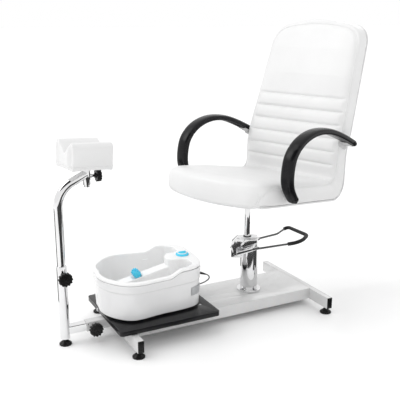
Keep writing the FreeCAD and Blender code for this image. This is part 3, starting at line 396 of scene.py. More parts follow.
def nurbs(name, points, resolution):
    """Curve data for a clamped NURBS line through space."""
    data = bpy.data.curves.new(name, "CURVE")
    data.dimensions = "3D"
    data.resolution_u = resolution
    spline = data.splines.new("NURBS")
    spline.points.add(len(points) - 1)
    for point, at in zip(spline.points, points):
        point.co = (*at, 1)
    spline.order_u = 3
    spline.use_endpoint_u = True
    return data


def spline_line(points):
    """The points that such a curve passes through, read from the curve itself."""
    data = nurbs("route", points, 24)
    holder = bpy.data.objects.new("route", data)
    mesh = bpy.data.meshes.new_from_object(holder)
    line = get_points(mesh)
    bpy.data.objects.remove(holder)
    bpy.data.curves.remove(data)
    bpy.data.meshes.remove(mesh)
    return line


def surface_of(piece):
    mesh = piece.data
    return BVHTree.FromPolygons([v.co for v in mesh.vertices],
                                [p.vertices[:] for p in mesh.polygons])


def laid_on(line, tree, lift):
    """The line moved to a surface, standing proud of it by lift."""
    laid = []
    for p in line:
        spot, normal, _, _ = tree.find_nearest(Vector(p))
        laid.append(np.array(spot + normal * lift))
    return np.array(laid)


def distance_to_line(points, line):
    """Each point's distance to the nearest of a line's points."""
    near = np.full(len(points), 9.0)
    for start in range(0, len(line), 64):
        part = line[start:start + 64]
        gap = np.linalg.norm(points[:, None, :] - part[None, :, :], axis=2).min(1)
        near = np.minimum(near, gap)
    return near


# ---- upholstered chair --------------------------------------------------------------------------
CREASE = (0.285, 0.570)                          # (y, z) of the inner corner between seat and back
CREASE_NORMAL = np.array([0.66, 0.753])
CHANNELS = (0.926, 0.869, 0.812, 0.756, 0.700, 0.643)     # heights of the back's sewn channels
CHANNEL_PITCH, CHANNEL_HALF = 0.0565, 0.0052
SEAT_HALF = 0.262                                # half the seat's width
PINCH_DEEP, PINCH_WIDE = 0.0036, 0.0085          # how the front panel's seam draws the skin in


def voxel_skin(name, made, body, material, voxel, rounds):
    """A closed, evenly meshed and rounded skin round a bmesh."""
    mesh = bpy.data.meshes.new(name)
    made.to_mesh(mesh)
    made.free()
    piece = place_object(name, mesh, body, material)
    voxels = piece.modifiers.new("voxels", "REMESH")
    voxels.mode = "VOXEL"
    voxels.voxel_size = voxel
    voxels.use_smooth_shade = True
    rounding = piece.modifiers.new("rounding", "SMOOTH")
    rounding.factor = 0.5
    rounding.iterations = rounds
    applied(piece)
    keep_largest(piece.data)
    return piece


def keep_largest(mesh):
    """Drops the closed pockets that remeshing leaves inside."""
    made = bmesh.new()
    made.from_mesh(mesh)
    made.verts.ensure_lookup_table()
    seen, groups = set(), []
    for vert in made.verts:
        if vert.index in seen:
            continue
        group, ahead = [], [vert]
        seen.add(vert.index)
        while ahead:
            at = ahead.pop()
            group.append(at)
            for edge in at.link_edges:
                other = edge.other_vert(at)
                if other.index not in seen:
                    seen.add(other.index)
                    ahead.append(other)
        groups.append(group)
    groups.sort(key=len)
    for group in groups[:-1]:
        bmesh.ops.delete(made, geom=group, context="VERTS")
    made.to_mesh(mesh)
    made.free()
    mesh.shade_smooth()


def inflate(piece, pressure, cap):
    """Cloth under a little air pressure, with no point moved further than the cap."""
    scene = bpy.context.scene
    start = get_points(piece.data)
    cloth = piece.modifiers.new("cloth", "CLOTH")
    cloth.settings.quality = 4
    cloth.settings.mass = 0.35
    cloth.settings.tension_stiffness = 18
    cloth.settings.compression_stiffness = 18
    cloth.settings.bending_stiffness = 1.5
    cloth.settings.use_pressure = True
    cloth.settings.uniform_pressure_force = pressure
    cloth.settings.effector_weights.gravity = 0
    cloth.point_cache.frame_start = 1
    cloth.point_cache.frame_end = 20
    for step in range(1, 21):
        scene.frame_set(step)
    swollen = get_points(piece.evaluated_get(bpy.context.evaluated_depsgraph_get()).data)
    piece.modifiers.remove(cloth)
    scene.frame_set(1)
    normals = get_normals(piece.data)
    swell = np.clip(((swollen - start) * normals).sum(1), 0, cap)
    set_points(piece.data, start + normals * evened(piece.data, swell, 30)[:, None])


def evened(mesh, values, rounds):
    """Averages each point's value with its neighbours', so that it changes gently."""
    ends = np.empty(len(mesh.edges) * 2, int)
    mesh.edges.foreach_get("vertices", ends)
    a, b = ends.reshape(-1, 2).T
    count = len(values)
    degree = np.maximum(np.bincount(a, minlength=count) + np.bincount(b, minlength=count), 1)
    for _ in range(rounds):
        around = np.bincount(a, values[b], count) + np.bincount(b, values[a], count)
        values = (values + around / degree) / 2
    return values


def softened(mesh, share, rounds):
    """Rounds a region off: each point moves towards its neighbours by its own share."""
    points = get_points(mesh)
    for _ in range(rounds):
        means = np.stack([evened(mesh, points[:, k], 1) for k in range(3)], 1)
        points += (means - points) * share[:, None]
    return points


def subdivided(piece):
    piece.modifiers.new("finer", "SUBSURF").levels = 1
    piece.modifiers["finer"].render_levels = 1
    applied(piece)
    piece.data.shade_smooth()


def bell(distance, width):
    return np.exp(-(distance / width) ** 2)


def seam_line():
    """The seam round the front panel, in the chair's frame: up one side and down the other."""
    seat = [(0.246, -0.262, 0.546), (0.251, -0.248, 0.570), (0.253, -0.228, 0.592),
            (0.2535, -0.200, 0.608), (0.2535, -0.165, 0.618), (0.253, -0.125, 0.619),
            (0.253, -0.070, 0.612), (0.2535, 0.000, 0.602), (0.254, 0.080, 0.592),
            (0.255, 0.160, 0.584), (0.256, 0.225, 0.580), (0.256, 0.270, 0.590),
            (0.256, 0.287, 0.620), (0.256, 0.289, 0.658)]
    back = [(0.255, 0.292, 0.700), (0.257, 0.303, 0.745), (0.257, 0.316, 0.790), (0.252, 0.346, 0.862),
            (0.248, 0.370, 0.925), (0.244, 0.399, 1.010), (0.236, 0.434, 1.115), (0.226, 0.451, 1.170),
            (0.207, 0.462, 1.207), (0.172, 0.468, 1.229), (0.115, 0.472, 1.240), (0.0575, 0.474, 1.245)]
    right = seat + back
    top = [(0.0, 0.475, 1.247)]
    left = [(-x, y, z) for x, y, z in right[::-1]]
    return smooth_line(right + top + left, steps=14)


def upholstery():
    """The padded shell in one skin, then parted into the seat and the back at the crease."""
    made = welded(["seat_pad", "back_pad", "seat_shell"])
    skin = voxel_skin("seat_cushion", made, "seat", WHITE_VINYL, 0.006, 14)
    inflate(skin, 4.0, 0.007)
    place = to_chair(get_points(skin.data))
    nose = np.clip((-0.155 - place[:, 1]) / 0.05, 0, 1) * np.clip((0.66 - place[:, 2]) / 0.02, 0, 1)
    set_points(skin.data, softened(skin.data, nose, 26))
    subdivided(skin)
    mesh = skin.data
    points = to_chair(get_points(mesh))
    normals = turn_about(get_normals(mesh), -SEAT_TURN, (0, 0))
    x, y, z = points.T
    inward = np.clip(1 - (np.abs(x) / 0.252) ** 6, 0, 1)

    # a fuller seat, whose front roll bulges forward and droops in the middle
    top = np.clip((normals[:, 2] - 0.2) / 0.5, 0, 1)
    middle = np.clip(1 - (x / SEAT_HALF) ** 4, 0, 1)
    points[:, 2] += 0.011 * bell(y + 0.06, 0.19) * middle * top * (z < 0.68)
    front = np.clip((-normals[:, 1] - 0.1) / 0.6, 0, 1) * (z < 0.66) * (y < 0.0)
    points[:, 1] -= 0.012 * front * middle
    under = (y < -0.17) & (normals[:, 2] < -0.2)
    droop = np.clip(1 - (x / 0.25) ** 2, 0, 1) * np.clip((-0.17 - y) / 0.06, 0, 1)
    points[:, 2] -= 0.010 * under * droop

    # each side panel swells between the seam and the bottom edge
    panel = np.clip((np.abs(normals[:, 0]) - 0.6) / 0.3, 0, 1) * (y > -0.24) * (y < 0.33)
    panel_middle = 0.5605 - 0.130 * y
    points[:, 0] += np.sign(x) * 0.0035 * panel * np.clip(1 - ((z - panel_middle) / 0.045) ** 2, 0, 1)

    # a soft hollow where the back rises out of the seat
    corner = np.hypot(y - CREASE[0], z - CREASE[1])
    facing = np.clip((normals[:, 2] - normals[:, 1]) / 1.2, 0, 1) * (y < 0.30)
    fill = 0.017 * np.clip(1 - corner / 0.075, 0, 1) ** 2 * facing
    points[:, 1] -= fill * 0.7
    points[:, 2] += fill * 0.7

    # sewn channels across the lower back and a fuller, smooth upper back
    face = np.clip((-normals[:, 1] - 0.35) / 0.3, 0, 1) * (y > 0.20)
    across = np.clip((0.243 - np.abs(x)) / 0.014, 0, 1)
    sink = sum(bell(z - at, CHANNEL_HALF) for at in CHANNELS)
    region = np.clip((z - 0.60) / 0.03, 0, 1) * np.clip((0.931 - z) / 0.01, 0, 1)
    puff = np.abs(np.sin(math.pi * (z - CHANNELS[-1]) / CHANNEL_PITCH)) ** 0.8 * region
    points += normals * (face * across * (0.0042 * puff - 0.0050 * sink))[:, None]
    upper = np.clip((z - 0.93) / 0.09, 0, 1) * np.clip((1.235 - z) / 0.10, 0, 1)
    points += normals * (face * inward * 0.006 * upper)[:, None]

    # the seam pinches the skin in
    seam = seam_line()
    pinch = bell(distance_to_line(points, seam), PINCH_WIDE)
    points -= normals * (PINCH_DEEP * pinch)[:, None]
    set_points(mesh, from_chair(points))

    back_mesh = mesh.copy()
    back_mesh.name = "back_cushion"
    back = place_object("back_cushion", back_mesh, "seat", WHITE_VINYL)
    centre = from_chair([(0, CREASE[0], CREASE[1])])[0]
    normal = from_chair([(0, *CREASE_NORMAL)])[0] - from_chair([(0, 0, 0)])[0]
    for piece, keep_above in ((skin, False), (back, True)):
        part_at(piece.data, centre, normal, keep_above)
        piece.data.shade_smooth()
    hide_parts("seat_pad")
    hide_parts("back_pad")
    return skin, back, seam


def part_at(mesh, centre, normal, keep_above):
    """Keeps one side of a plane and closes the cut."""
    made = bmesh.new()
    made.from_mesh(mesh)
    everything = made.verts[:] + made.edges[:] + made.faces[:]
    cut = bmesh.ops.bisect_plane(made, geom=everything, plane_co=centre, plane_no=normal,
                                 clear_inner=keep_above, clear_outer=not keep_above)
    rim = [e for e in cut["geom_cut"] if isinstance(e, bmesh.types.BMEdge)]
    bmesh.ops.holes_fill(made, edges=rim, sides=0)
    made.to_mesh(mesh)
    made.free()


BACK_FACE = ((0.64, 0.70, 0.78, 0.866, 0.918, 1.01),      # heights, and the front face's y at each
             (0.29, 0.29, 0.31, 0.35, 0.372, 0.398))


def piping(skin, back, seam):
    """The welt along the seam, and the stitches in the channels."""
    both = bmesh.new()
    both.from_mesh(skin.data)
    both.from_mesh(back.data)
    tree = BVHTree.FromBMesh(both)
    both.free()
    line = laid_on(from_chair(seam), tree, 0.0002)
    for _ in range(6):
        line[1:-1] = (line[:-2] + 2 * line[1:-1] + line[2:]) / 4
    place_object("panel_welt", tube_mesh("panel_welt", line, 0.0021, 10), "seat",
                 WHITE_WELT)
    points, faces = [], []
    for at in CHANNELS:
        depth = np.interp(at, *BACK_FACE)
        row = np.array([(x, depth, at) for x in np.arange(-0.236, 0.2361, 0.0045)])
        laid = laid_on(from_chair(row), tree, -0.0001)
        for a, b in zip(laid[::2], laid[1::2]):
            capsule(points, faces, a, b, 0.0005)
    stitches = from_faces("channel_stitches", points, faces)
    place_object("channel_stitches", stitches, "seat", WHITE_THREAD)


def capsule(points, faces, start, end, radius, sides=6):
    """A short thread between two points, with rounded ends, added to a growing mesh."""
    ahead = end - start
    ahead = ahead / np.linalg.norm(ahead)
    side = np.cross(ahead, (0, 0, 1.0))
    side /= np.linalg.norm(side)
    up = np.cross(ahead, side)
    rings = ((0, 0.45), (0.18, 1), (0.82, 1), (1, 0.45))      # share along, share of the radius
    faces.extend(ring_faces(len(rings), sides, len(points)))
    for along, size in rings:
        points.extend(ring_of(start + (end - start) * along, side, up, radius * size, sides))


# ---- armrests -----------------------------------------------------------------------------------
ARM_LINE = ((-0.064, 0.556), (-0.088, 0.584), (-0.114, 0.630), (-0.114, 0.690), (-0.094, 0.756),
            (-0.024, 0.808), (0.084, 0.828), (0.214, 0.803), (0.355, 0.738))
ARM_MIDDLE, ARM_HALF_WIDE, ARM_HALF_THICK = 0.292, 0.0278, 0.0134


def arm(side):
    """A moulded arm: flattened, narrower to its ends, with a pad line at the front bend."""
    line = spline_line([(0, y, z) for y, z in ARM_LINE])
    gaps = np.linalg.norm(np.diff(line, axis=0), axis=1)
    along = np.concatenate([[0], np.cumsum(gaps)])
    total = along[-1]
    stations = np.concatenate([np.linspace(0, 0.016, 7), np.linspace(0.022, total - 0.022, 110),
                               np.linspace(total - 0.016, total, 7)])
    spots = np.stack([np.interp(stations, along, line[:, k]) for k in range(3)], 1)
    ahead = np.gradient(spots, axis=0)
    ahead /= np.linalg.norm(ahead, axis=1)[:, None]
    out = np.stack([np.zeros(len(spots)), -ahead[:, 2], ahead[:, 1]], 1)
    mark = np.argmin(np.hypot(spots[:, 1] + 0.078, spots[:, 2] - 0.784))
    sides, points = 40, []
    for i, (spot, normal, s) in enumerate(zip(spots, out, stations)):
        end = min(s, total - s)
        size = 1.0 if end > 0.012 else 0.35 + 0.65 * math.sqrt(max(0.0, 1 - (1 - end / 0.012) ** 2))
        wide = ARM_HALF_WIDE * size * (0.86 + 0.14 * min(1, end / 0.10))
        thick = ARM_HALF_THICK * size * (0.97 + 0.09 * float(bell(s - 0.30 * total, 0.12)))
        if i == mark:
            wide, thick = wide * 0.97, thick * 0.95
        for k in range(sides):
            a = 2 * math.pi * k / sides
            c, d = math.cos(a), math.sin(a)
            across = math.copysign(abs(c) ** 0.44, c)
            rise = math.copysign(abs(d) ** 0.50, d)
            if d > 0:
                rise *= 1.10 - 0.20 * across ** 2
            point = spot + np.array([ARM_MIDDLE + wide * across, 0, 0]) + normal * (thick * rise)
            points.append(point * np.array([side, 1, 1]))
    faces = ring_faces(len(spots), sides)
    if side < 0:
        faces = [f[::-1] for f in faces]
    word = "left" if side > 0 else "right"
    mesh = from_faces(f"arm_{word}", from_chair(points), faces)
    piece = place_object(f"arm_{word}", mesh, "seat", BLACK_GLOSS)
    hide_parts("armrest_left" if side > 0 else "armrest_right")


def lathe(name, start, end, profile, sides=32):
    """A turned shape about the line from start to end. profile: (share along, radius)."""
    start, end = np.array(start, float), np.array(end, float)
    ahead = (end - start) / np.linalg.norm(end - start)
    side = np.cross(ahead, (0, 0, 1.0) if abs(ahead[2]) < 0.9 else (1.0, 0, 0))
    side /= np.linalg.norm(side)
    up = np.cross(ahead, side)
    points = []
    for along, radius in profile:
        points += ring_of(start + (end - start) * along, side, up, radius, sides)
    mesh = from_faces(name, points, ring_faces(len(profile), sides))
    smooth_by_angle(mesh, 40)
    return mesh


def arm_end_caps():
    """Round covers over the armrest bolts, each in a low boss and with a shallow socket."""
    for side, word in ((1, "left"), (-1, "right")):
        for (y, z), end in (((-0.082, 0.574), "front"), ((0.338, 0.741), "rear")):
            inner, middle, outer = (from_chair([(side * x, y, z)])[0] for x in (0.306, 0.3178, 0.3215))
            boss = ((0, 0.0100), (0.2, 0.0108), (0.80, 0.0108), (0.94, 0.0104), (1.0, 0.0094))
            name = f"arm_boss_{end}_{word}"
            place_object(name, lathe(name, inner, middle, boss, 32), "seat", BLACK_GLOSS)
            profile = ((0, 0.0076), (0.55, 0.0080), (0.9, 0.0074), (1.0, 0.0064), (1.0, 0.0042),
                       (0.4, 0.0036), (0.4, 0.0004))
            name = f"arm_cap_{end}_{word}"
            cap = lathe(name, middle, outer, profile, 24)
            place_object(name, cap, "seat", BLACK_PLASTIC)


def slab(made, low, high):
    """A closed block between two matching outlines, added to a bmesh."""
    a, b = ([made.verts.new(point) for point in outline] for outline in (low, high))
    made.faces.new(a)
    made.faces.new(b[::-1])
    for k in range(len(a)):
        m = (k + 1) % len(a)
        made.faces.new((a[k], b[k], b[m], a[m]))


def arm_brackets():
    """A pressed bracket under each arm's rear end, bent against the back's side."""
    for side, word in ((1, "left"), (-1, "right")):
        made = bmesh.new()
        outline = ((0.284, 0.742), (0.292, 0.730), (0.338, 0.709), (0.350, 0.713), (0.352, 0.725),
                   (0.318, 0.742), (0.288, 0.754))
        slab(made, *([(side * x, y, z) for y, z in outline] for x in (0.2625, 0.2665)))
        lip = [(0.2640, 0.288, 0.7520), (0.3060, 0.288, 0.7520), (0.3060, 0.344, 0.7275),
               (0.2640, 0.344, 0.7275)]
        slab(made, *([(side * x, y, z - drop) for x, y, z in lip] for drop in (0.0022, 0)))
        bmesh.ops.recalc_face_normals(made, faces=made.faces)
        bmesh.ops.bevel(made, geom=made.edges[:], offset=0.0007, segments=2, affect="EDGES")
        name = f"arm_bracket_{word}"
        mesh = bpy.data.meshes.new(name)
        made.to_mesh(mesh)
        made.free()
        set_points(mesh, from_chair(get_points(mesh)))
        smooth_by_angle(mesh, 40)
        place_object(name, mesh, "seat", BRACKET)


# ---- footrest -----------------------------------------------------------------------------------
def footrest_place():
    """From the cushion's own frame, about its middle, to the row's frame."""
    centre = Vector((ROD_AT.x, ROD_AT.y - 0.7318, 0.770))
    turn, tilt = math.radians(7.5), math.radians(-3.9)
    return Matrix.Translation(centre) @ Matrix.Rotation(turn, 4, "Z") @ Matrix.Rotation(tilt, 4, "X")


def tuck_ends(cushion):
    """Folds the cover's ends in beside each corner, and lets its bottom corners hang a little."""
    place = np.array(footrest_place())
    points = (get_points(cushion.data) - place[:3, 3]) @ place[:3, :3]
    normals = get_normals(cushion.data) @ place[:3, :3]
    x, y, z = points.T
    half_x, half_y, half_z = 0.0765, 0.084, 0.0495
    end = np.clip((np.abs(normals[:, 1]) - 0.3) / 0.5, 0, 1) * (np.abs(y) > half_y - 0.02)
    height = np.clip((z + half_z) / (2 * half_z), 0, 1)
    fold = bell(np.abs(x) - 0.80 * half_x, 0.010) - 0.35 * bell(np.abs(x) - 0.56 * half_x, 0.008)
    fold *= np.sin(math.pi * np.clip(height * 0.92 + 0.04, 0, 1))
    points[:, 1] -= np.sign(y) * end * fold * 0.0100
    side = np.clip((np.abs(normals[:, 0]) - 0.5) / 0.4, 0, 1) * (np.abs(x) > half_x - 0.015)
    swell = np.clip(1 - (y / half_y) ** 4, 0, 1) * np.sin(math.pi * height)
    points[:, 0] += np.sign(x) * side * 0.0025 * swell
    corner = bell(np.abs(x) - half_x, 0.015) * bell(np.abs(y) - half_y, 0.015)
    points[:, 2] -= 0.0055 * corner * np.clip((-z - 0.030) / 0.015, 0, 1)
    low_edge = np.clip((-z - 0.038) / 0.008, 0, 1) * np.clip(1 - 1.6 * corner, 0, 1)
    points[:, 2] -= 0.0012 * low_edge * (np.maximum(np.abs(x) / half_x, np.abs(y) / half_y) > 0.93)
    set_points(cushion.data, points @ place[:3, :3].T + place[:3, 3])


def footrest():
    """The grooved cushion on its board, with a welt round its top seam."""
    made = welded(["footrest_cushion", "footrest_board"])
    cushion = voxel_skin("leg_cushion", made, "footrest", WHITE_VINYL, 0.0040, 6)
    inflate(cushion, 3.0, 0.003)
    set_points(cushion.data, get_points(cushion.data) + get_normals(cushion.data) * 0.0016)
    subdivided(cushion)
    tuck_ends(cushion)
    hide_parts("footrest_cushion")
    tree = surface_of(cushion)
    to_row = footrest_place()
    half_x, half_y, level = 0.0770, 0.0845, -0.0375
    corner = 0.012
    ring = []
    for sx, sy, first in ((1, 1, 0), (-1, 1, 90), (-1, -1, 180), (1, -1, 270)):
        for step in range(5):
            a = math.radians(first + 22.5 * step)
            ring.append((sx * (half_x - corner) + corner * math.cos(a),
                         sy * (half_y - corner) + corner * math.sin(a), level))
    line = [to_row @ Vector(p) for p in ring]
    line = smooth_line([tuple(p) for p in line], closed=True, steps=6)
    line = laid_on(line, tree, 0.0003)
    welt = tube_mesh("leg_cushion_welt", line, 0.0016, 8, closed=True)
    place_object("leg_cushion_welt", welt, "footrest", WHITE_WELT)
    points, faces = [], []
    for x in (-0.0770, 0.0770):
        for y in np.arange(-0.074, 0.0741, 0.0044):
            ends = [to_row @ Vector((x, y + dy, 0.0320)) for dy in (0.0004, 0.0031)]
            laid = laid_on(np.array([tuple(p) for p in ends]), tree, 0.0001)
            capsule(points, faces, laid[0], laid[1], 0.0004)
    place_object("leg_cushion_stitches", from_faces("leg_cushion_stitches", points, faces), "footrest",
                 WHITE_THREAD)


# ---- foot bath ----------------------------------------------------------------------------------
def thinned(piece, share):
    fewer = piece.modifiers.new("fewer", "DECIMATE")
    fewer.ratio = share
    applied(piece)
    piece.data.shade_smooth()


def tub():
    """The two mouldings of the bath, with every rim and corner rounded as moulded plastic is."""
    basin = voxel_skin("bath_basin", welded(["tub_basin"]), "base", BASIN_PLASTIC_PAINTED_LIGHT,
                       0.0022, 9)
    thinned(basin, 0.45)
    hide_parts("tub_basin")
    housing = voxel_skin("bath_housing", welded(["tub_housing"]), "base", TUB_PLASTIC,
                         0.0026, 7)
    points = to_tub(get_points(housing.data))
    normals = turn_about(get_normals(housing.data), -TUB_TURN, (0, 0))
    x, y, z = points.T
    outside = np.clip((normals[:, 0] * x + normals[:, 1] * y) / 0.05, 0, 1)
    step_z = 0.2265                              # the wall steps in below this height
    points += normals * (outside * (0.0014 - 0.0026 * np.clip((step_z - z) / 0.003, 0, 1)))[:, None]
    set_points(housing.data, from_tub(points))
    thinned(housing, 0.5)
    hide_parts("tub_housing")
    refined("control_knob", "bath_dial", 0.0012, 3)
    pointer()
    refined("massage_roller", "bath_roller", 0.0005, 2)
    refined("tub_feet", "bath_feet", 0.001)


def pointer():
    """A white ring round the dial's grip, and a short white line on the grip itself."""
    low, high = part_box("control_knob")
    centre = (low + high) / 2
    ball_top, ball_radius = high.z - 0.0004, 0.046
    points, sides = [], 48
    for radius, lift in ((0.0172, -0.0004), (0.0174, 0.0005), (0.0205, 0.0005), (0.0207, -0.0004)):
        drop = ball_radius - math.sqrt(ball_radius ** 2 - radius ** 2)
        for k in range(sides):
            a = 2 * math.pi * k / sides
            points.append((centre.x + radius * math.cos(a), centre.y + radius * math.sin(a),
                           ball_top - 0.0016 - drop + lift))
    ring = from_faces("dial_ring", points, ring_faces(4, sides)[:-2])
    place_object("dial_ring", ring, "knob", WHITE_MARK)
    half, wide = 0.011, 0.0015
    outline = [(-wide, -half), (wide, -half), (wide, half), (0, half + 0.002), (-wide, half)]
    points = [(centre.x + x, centre.y + y, high.z + h) for h in (-0.0005, 0.0004) for x, y in outline]
    count = len(outline)
    faces = [tuple(range(count - 1, -1, -1)), tuple(range(count, 2 * count))]
    faces += [(i, (i + 1) % count, count + (i + 1) % count, count + i) for i in range(count)]
    mesh = from_faces("dial_mark", turn_about(points, TUB_TURN, (centre.x, centre.y)), faces)
    smooth_by_angle(mesh, 30)
    place_object("dial_mark", mesh, "knob", WHITE_MARK)


# ---- power cord ---------------------------------------------------------------------------------
CORD_DIAMETER = 0.005
CORD_ROUTE = ((0.1285, -0.1155, 0.227), (0.1265, -0.0995, 0.220), (0.1155, -0.0885, 0.198),
              (0.0895, -0.0975, 0.174), (0.0515, -0.1045, 0.152), (0.0055, -0.1015, 0.126),
              (-0.0425, -0.0935, 0.103), (-0.0865, -0.0835, 0.090), (-0.1135, -0.0715, 0.058),
              (-0.1225, -0.0575, 0.022), (-0.1205, -0.0335, 0.007), (-0.1185, -0.0035, 0.007))
COIL_TURNS = ((0.0315, 0.0076), (0.0318, 0.0027), (0.0262, 0.0026), (0.0263, 0.0076), (0.0264, 0.0125),
              (0.0316, 0.0124))


def cord_points():
    """The free stretch, then the turns of the coil, then the plug's tail."""
    low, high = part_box("cord_coil")
    centre = (low + high) / 2
    coil = []
    per_turn, blend = 14, 4
    for turn, (radius, level) in enumerate(COIL_TURNS):
        onward = COIL_TURNS[min(turn + 1, len(COIL_TURNS) - 1)]
        for step in range(per_turn):
            a = math.radians(18 + 360 * (turn + step / per_turn))
            share = max(0, (step - (per_turn - blend)) / blend)
            r = radius + (onward[0] - radius) * share
            z = level + (onward[1] - level) * share
            coil.append((centre.x + r * math.cos(a), centre.y + r * math.sin(a), z))
    radius, level = COIL_TURNS[-1]
    for step in range(6):
        a = math.radians(18 + 360 * step / per_turn)
        coil.append((centre.x + radius * math.cos(a), centre.y + radius * math.sin(a), level))
    low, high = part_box("plug")
    tail = ((low.x + high.x) / 2, high.y, 0.009)
    return [*CORD_ROUTE, *coil, (tail[0] + 0.0005, tail[1] + 0.010, 0.0105), tail]


def cord():
    """The bath's mains lead, free from its sleeve to the coil behind the bath."""
    points = cord_points()
    data = nurbs("mains_cord", points, 10)
    data.bevel_depth = CORD_DIAMETER / 2
    data.bevel_resolution = 4
    data.use_fill_caps = True
    data.materials.append(CORD_RUBBER)
    flex = bpy.data.objects.new("mains_cord", data)
    bpy.context.scene.collection.objects.link(flex)
    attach(flex, "base")
    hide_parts("power_cord", "cord_coil")
    length = float(np.linalg.norm(np.diff(spline_line(points), axis=0), axis=1).sum())
    lead = plug()
    relief()


def plug():
    """A flat two-pin plug with a ribbed tail, in place of the plain block."""
    low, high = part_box("plug")
    middle = (low.x + high.x) / 2
    made = bmesh.new()
    body_start, body_end = high.y - 0.022, high.y - 0.058
    outline = ((body_start, 0.0060, 0.0050), (body_start - 0.006, 0.0092, 0.0072),
               (body_start - 0.018, 0.0098, 0.0078), (body_end + 0.003, 0.0096, 0.0078),
               (body_end, 0.0088, 0.0070))
    sides, rings = 32, []
    for y, wide, high_half in outline:
        ring = []
        for k in range(sides):
            a = 2 * math.pi * k / sides
            c, s = math.cos(a), math.sin(a)
            ring.append(made.verts.new((middle + wide * math.copysign(abs(c) ** 0.45, c), y,
                                        0.009 + high_half * math.copysign(abs(s) ** 0.45, s))))
        rings.append(ring)
    for a, b in zip(rings, rings[1:]):
        for k in range(sides):
            m = (k + 1) % sides
            made.faces.new((a[k], b[k], b[m], a[m]))
    made.faces.new(rings[0])
    made.faces.new(rings[-1][::-1])
    mesh = bpy.data.meshes.new("mains_plug")
    made.to_mesh(mesh)
    made.free()
    smooth_by_angle(mesh, 50)
    lead = place_object("mains_plug", mesh, "base", BLACK_PLASTIC)
    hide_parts("plug")
    profile = [(0, 0.0034)]
    for rib in range(5):
        at = 0.12 + rib * 0.17
        size = 0.0040 + 0.0005 * rib
        profile += [(at, size - 0.0008), (at + 0.02, size), (at + 0.09, size),
                    (at + 0.11, size - 0.0008)]
    profile.append((1, 0.0058))
    tail = lathe("plug_tail", (middle, high.y, 0.009), (middle, high.y - 0.024, 0.009), profile, 20)
    place_object("plug_tail", tail, "base", CORD_RUBBER)
    for side in (-1, 1):
        pin = lathe("plug_pin", (middle + side * 0.006, body_end + 0.002, 0.009),
                    (middle + side * 0.006, low.y, 0.009),
                    ((0, 0.0024), (0.5, 0.0024), (0.52, 0.0022), (0.94, 0.0022), (1, 0.0013)), 16)
        place_object("plug_pin_a" if side < 0 else "plug_pin_b", pin, "base", ZINC)
    return lead


def relief():
    """A ribbed sleeve that tapers from the bath's wall to the cord."""
    end, onward = Vector(CORD_ROUTE[0]), Vector(CORD_ROUTE[1])
    start = end - (onward - end).normalized() * 0.036
    profile = [(0, 0.0058)]
    for rib in range(7):
        at = 0.08 + rib * 0.125
        size = 0.0057 - 0.0003 * rib
        profile += [(at, size - 0.0009), (at + 0.02, size), (at + 0.075, size),
                    (at + 0.095, size - 0.0009)]
    profile.append((1, 0.0030))
    sleeve = lathe("cord_sleeve", start, end, profile, 20)
    piece = place_object("cord_sleeve", sleeve, "base", CORD_RUBBER)
    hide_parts("strain_relief")


# ---- the other pieces ---------------------------------------------------------------------------
ROUNDED = {                                      # node: (edge width, segments)
    "base_platform": (0.0020, 3), "front_cross_tube": (0.0018, 3), "rear_cross_tube": (0.0018, 3),
    "tube_end_caps": (0.0010, 2), "tray": (0.0018, 3), "tray_screws": (0.0004, 2),
    "foot_front_left": (0.0012, 2), "foot_front_right": (0.0012, 2), "foot_rear_left": (0.0012, 2),
    "foot_rear_right": (0.0012, 2), "foot_post": (0.0012, 2),
    "extension_sleeve": (0.0016, 3), "extension_tube": (0.0012, 2), "lower_post": (0.0006, 2),
    "upper_post": (0.0006, 2), "extension_knob": (0.0012, 3), "post_knob": (0.0012, 3),
    "footrest_knob": (0.0012, 3), "footrest_stem": (0.0008, 2), "footrest_screws": (0.0005, 2),
    "footrest_board": (0.0010, 2), "pump_flange": (0.0012, 3), "pump_bolts": (0.0006, 2),
    "pump_column": (0.0005, 2), "pump_cap": (0.0010, 3), "pump_head": (0.0016, 3),
    "pedal_yoke": (0.0010, 2), "pedal_grip": (0.0014, 3), "lift_rod": (0.0008, 2),
    "seat_hub": (0.0010, 2), "seat_plate": (0.0010, 2), "seat_bolts": (0.0006, 2),
    "rear_cover": (0.0022, 3), "arm_bolts": (0.0008, 2),
}
OWN_MATERIAL = {"pump_column": PUMP_CHROME, "pump_cap": PUMP_CHROME, "pump_head": PUMP_CHROME,
                "pump_flange": PUMP_CHROME, "arm_bolts": TUB_PLASTIC, "pedal_loop": PEDAL_CHROME_PAINTED_SHADE,
                "seat_shell": COVER_VINYL, "footrest_board": COVER_VINYL}


def hard_pieces():
    """Rounds off the listed nodes, and gives a finish to each node that stays as it is."""
    for node, (width, segments) in ROUNDED.items():
        refined(node, f"{node}_fine", width, segments, OWN_MATERIAL.get(node))
    for node, piece in NODES.items():
        if piece.type == "MESH":
            piece.data.materials.clear()
            piece.data.materials.append(OWN_MATERIAL.get(node, MATERIAL_OF[SLOT_OF[node]]))


# ---- stage --------------------------------------------------------------------------------------
def area_light(name, at, target, size, energy):
    data = bpy.data.lights.new(name, "AREA")
    data.shape = "RECTANGLE"
    data.size, data.size_y = size
    data.energy = energy
    light = bpy.data.objects.new(name, data)
    bpy.context.scene.collection.objects.link(light)
    light.location = at
    light.rotation_euler = (Vector(target) - Vector(at)).to_track_quat("-Z", "Y").to_euler()


FLOOR_HALF = 90
SUN_ENERGY, KEY_ENERGY, RIM_ENERGY = 0.55, 22, 12


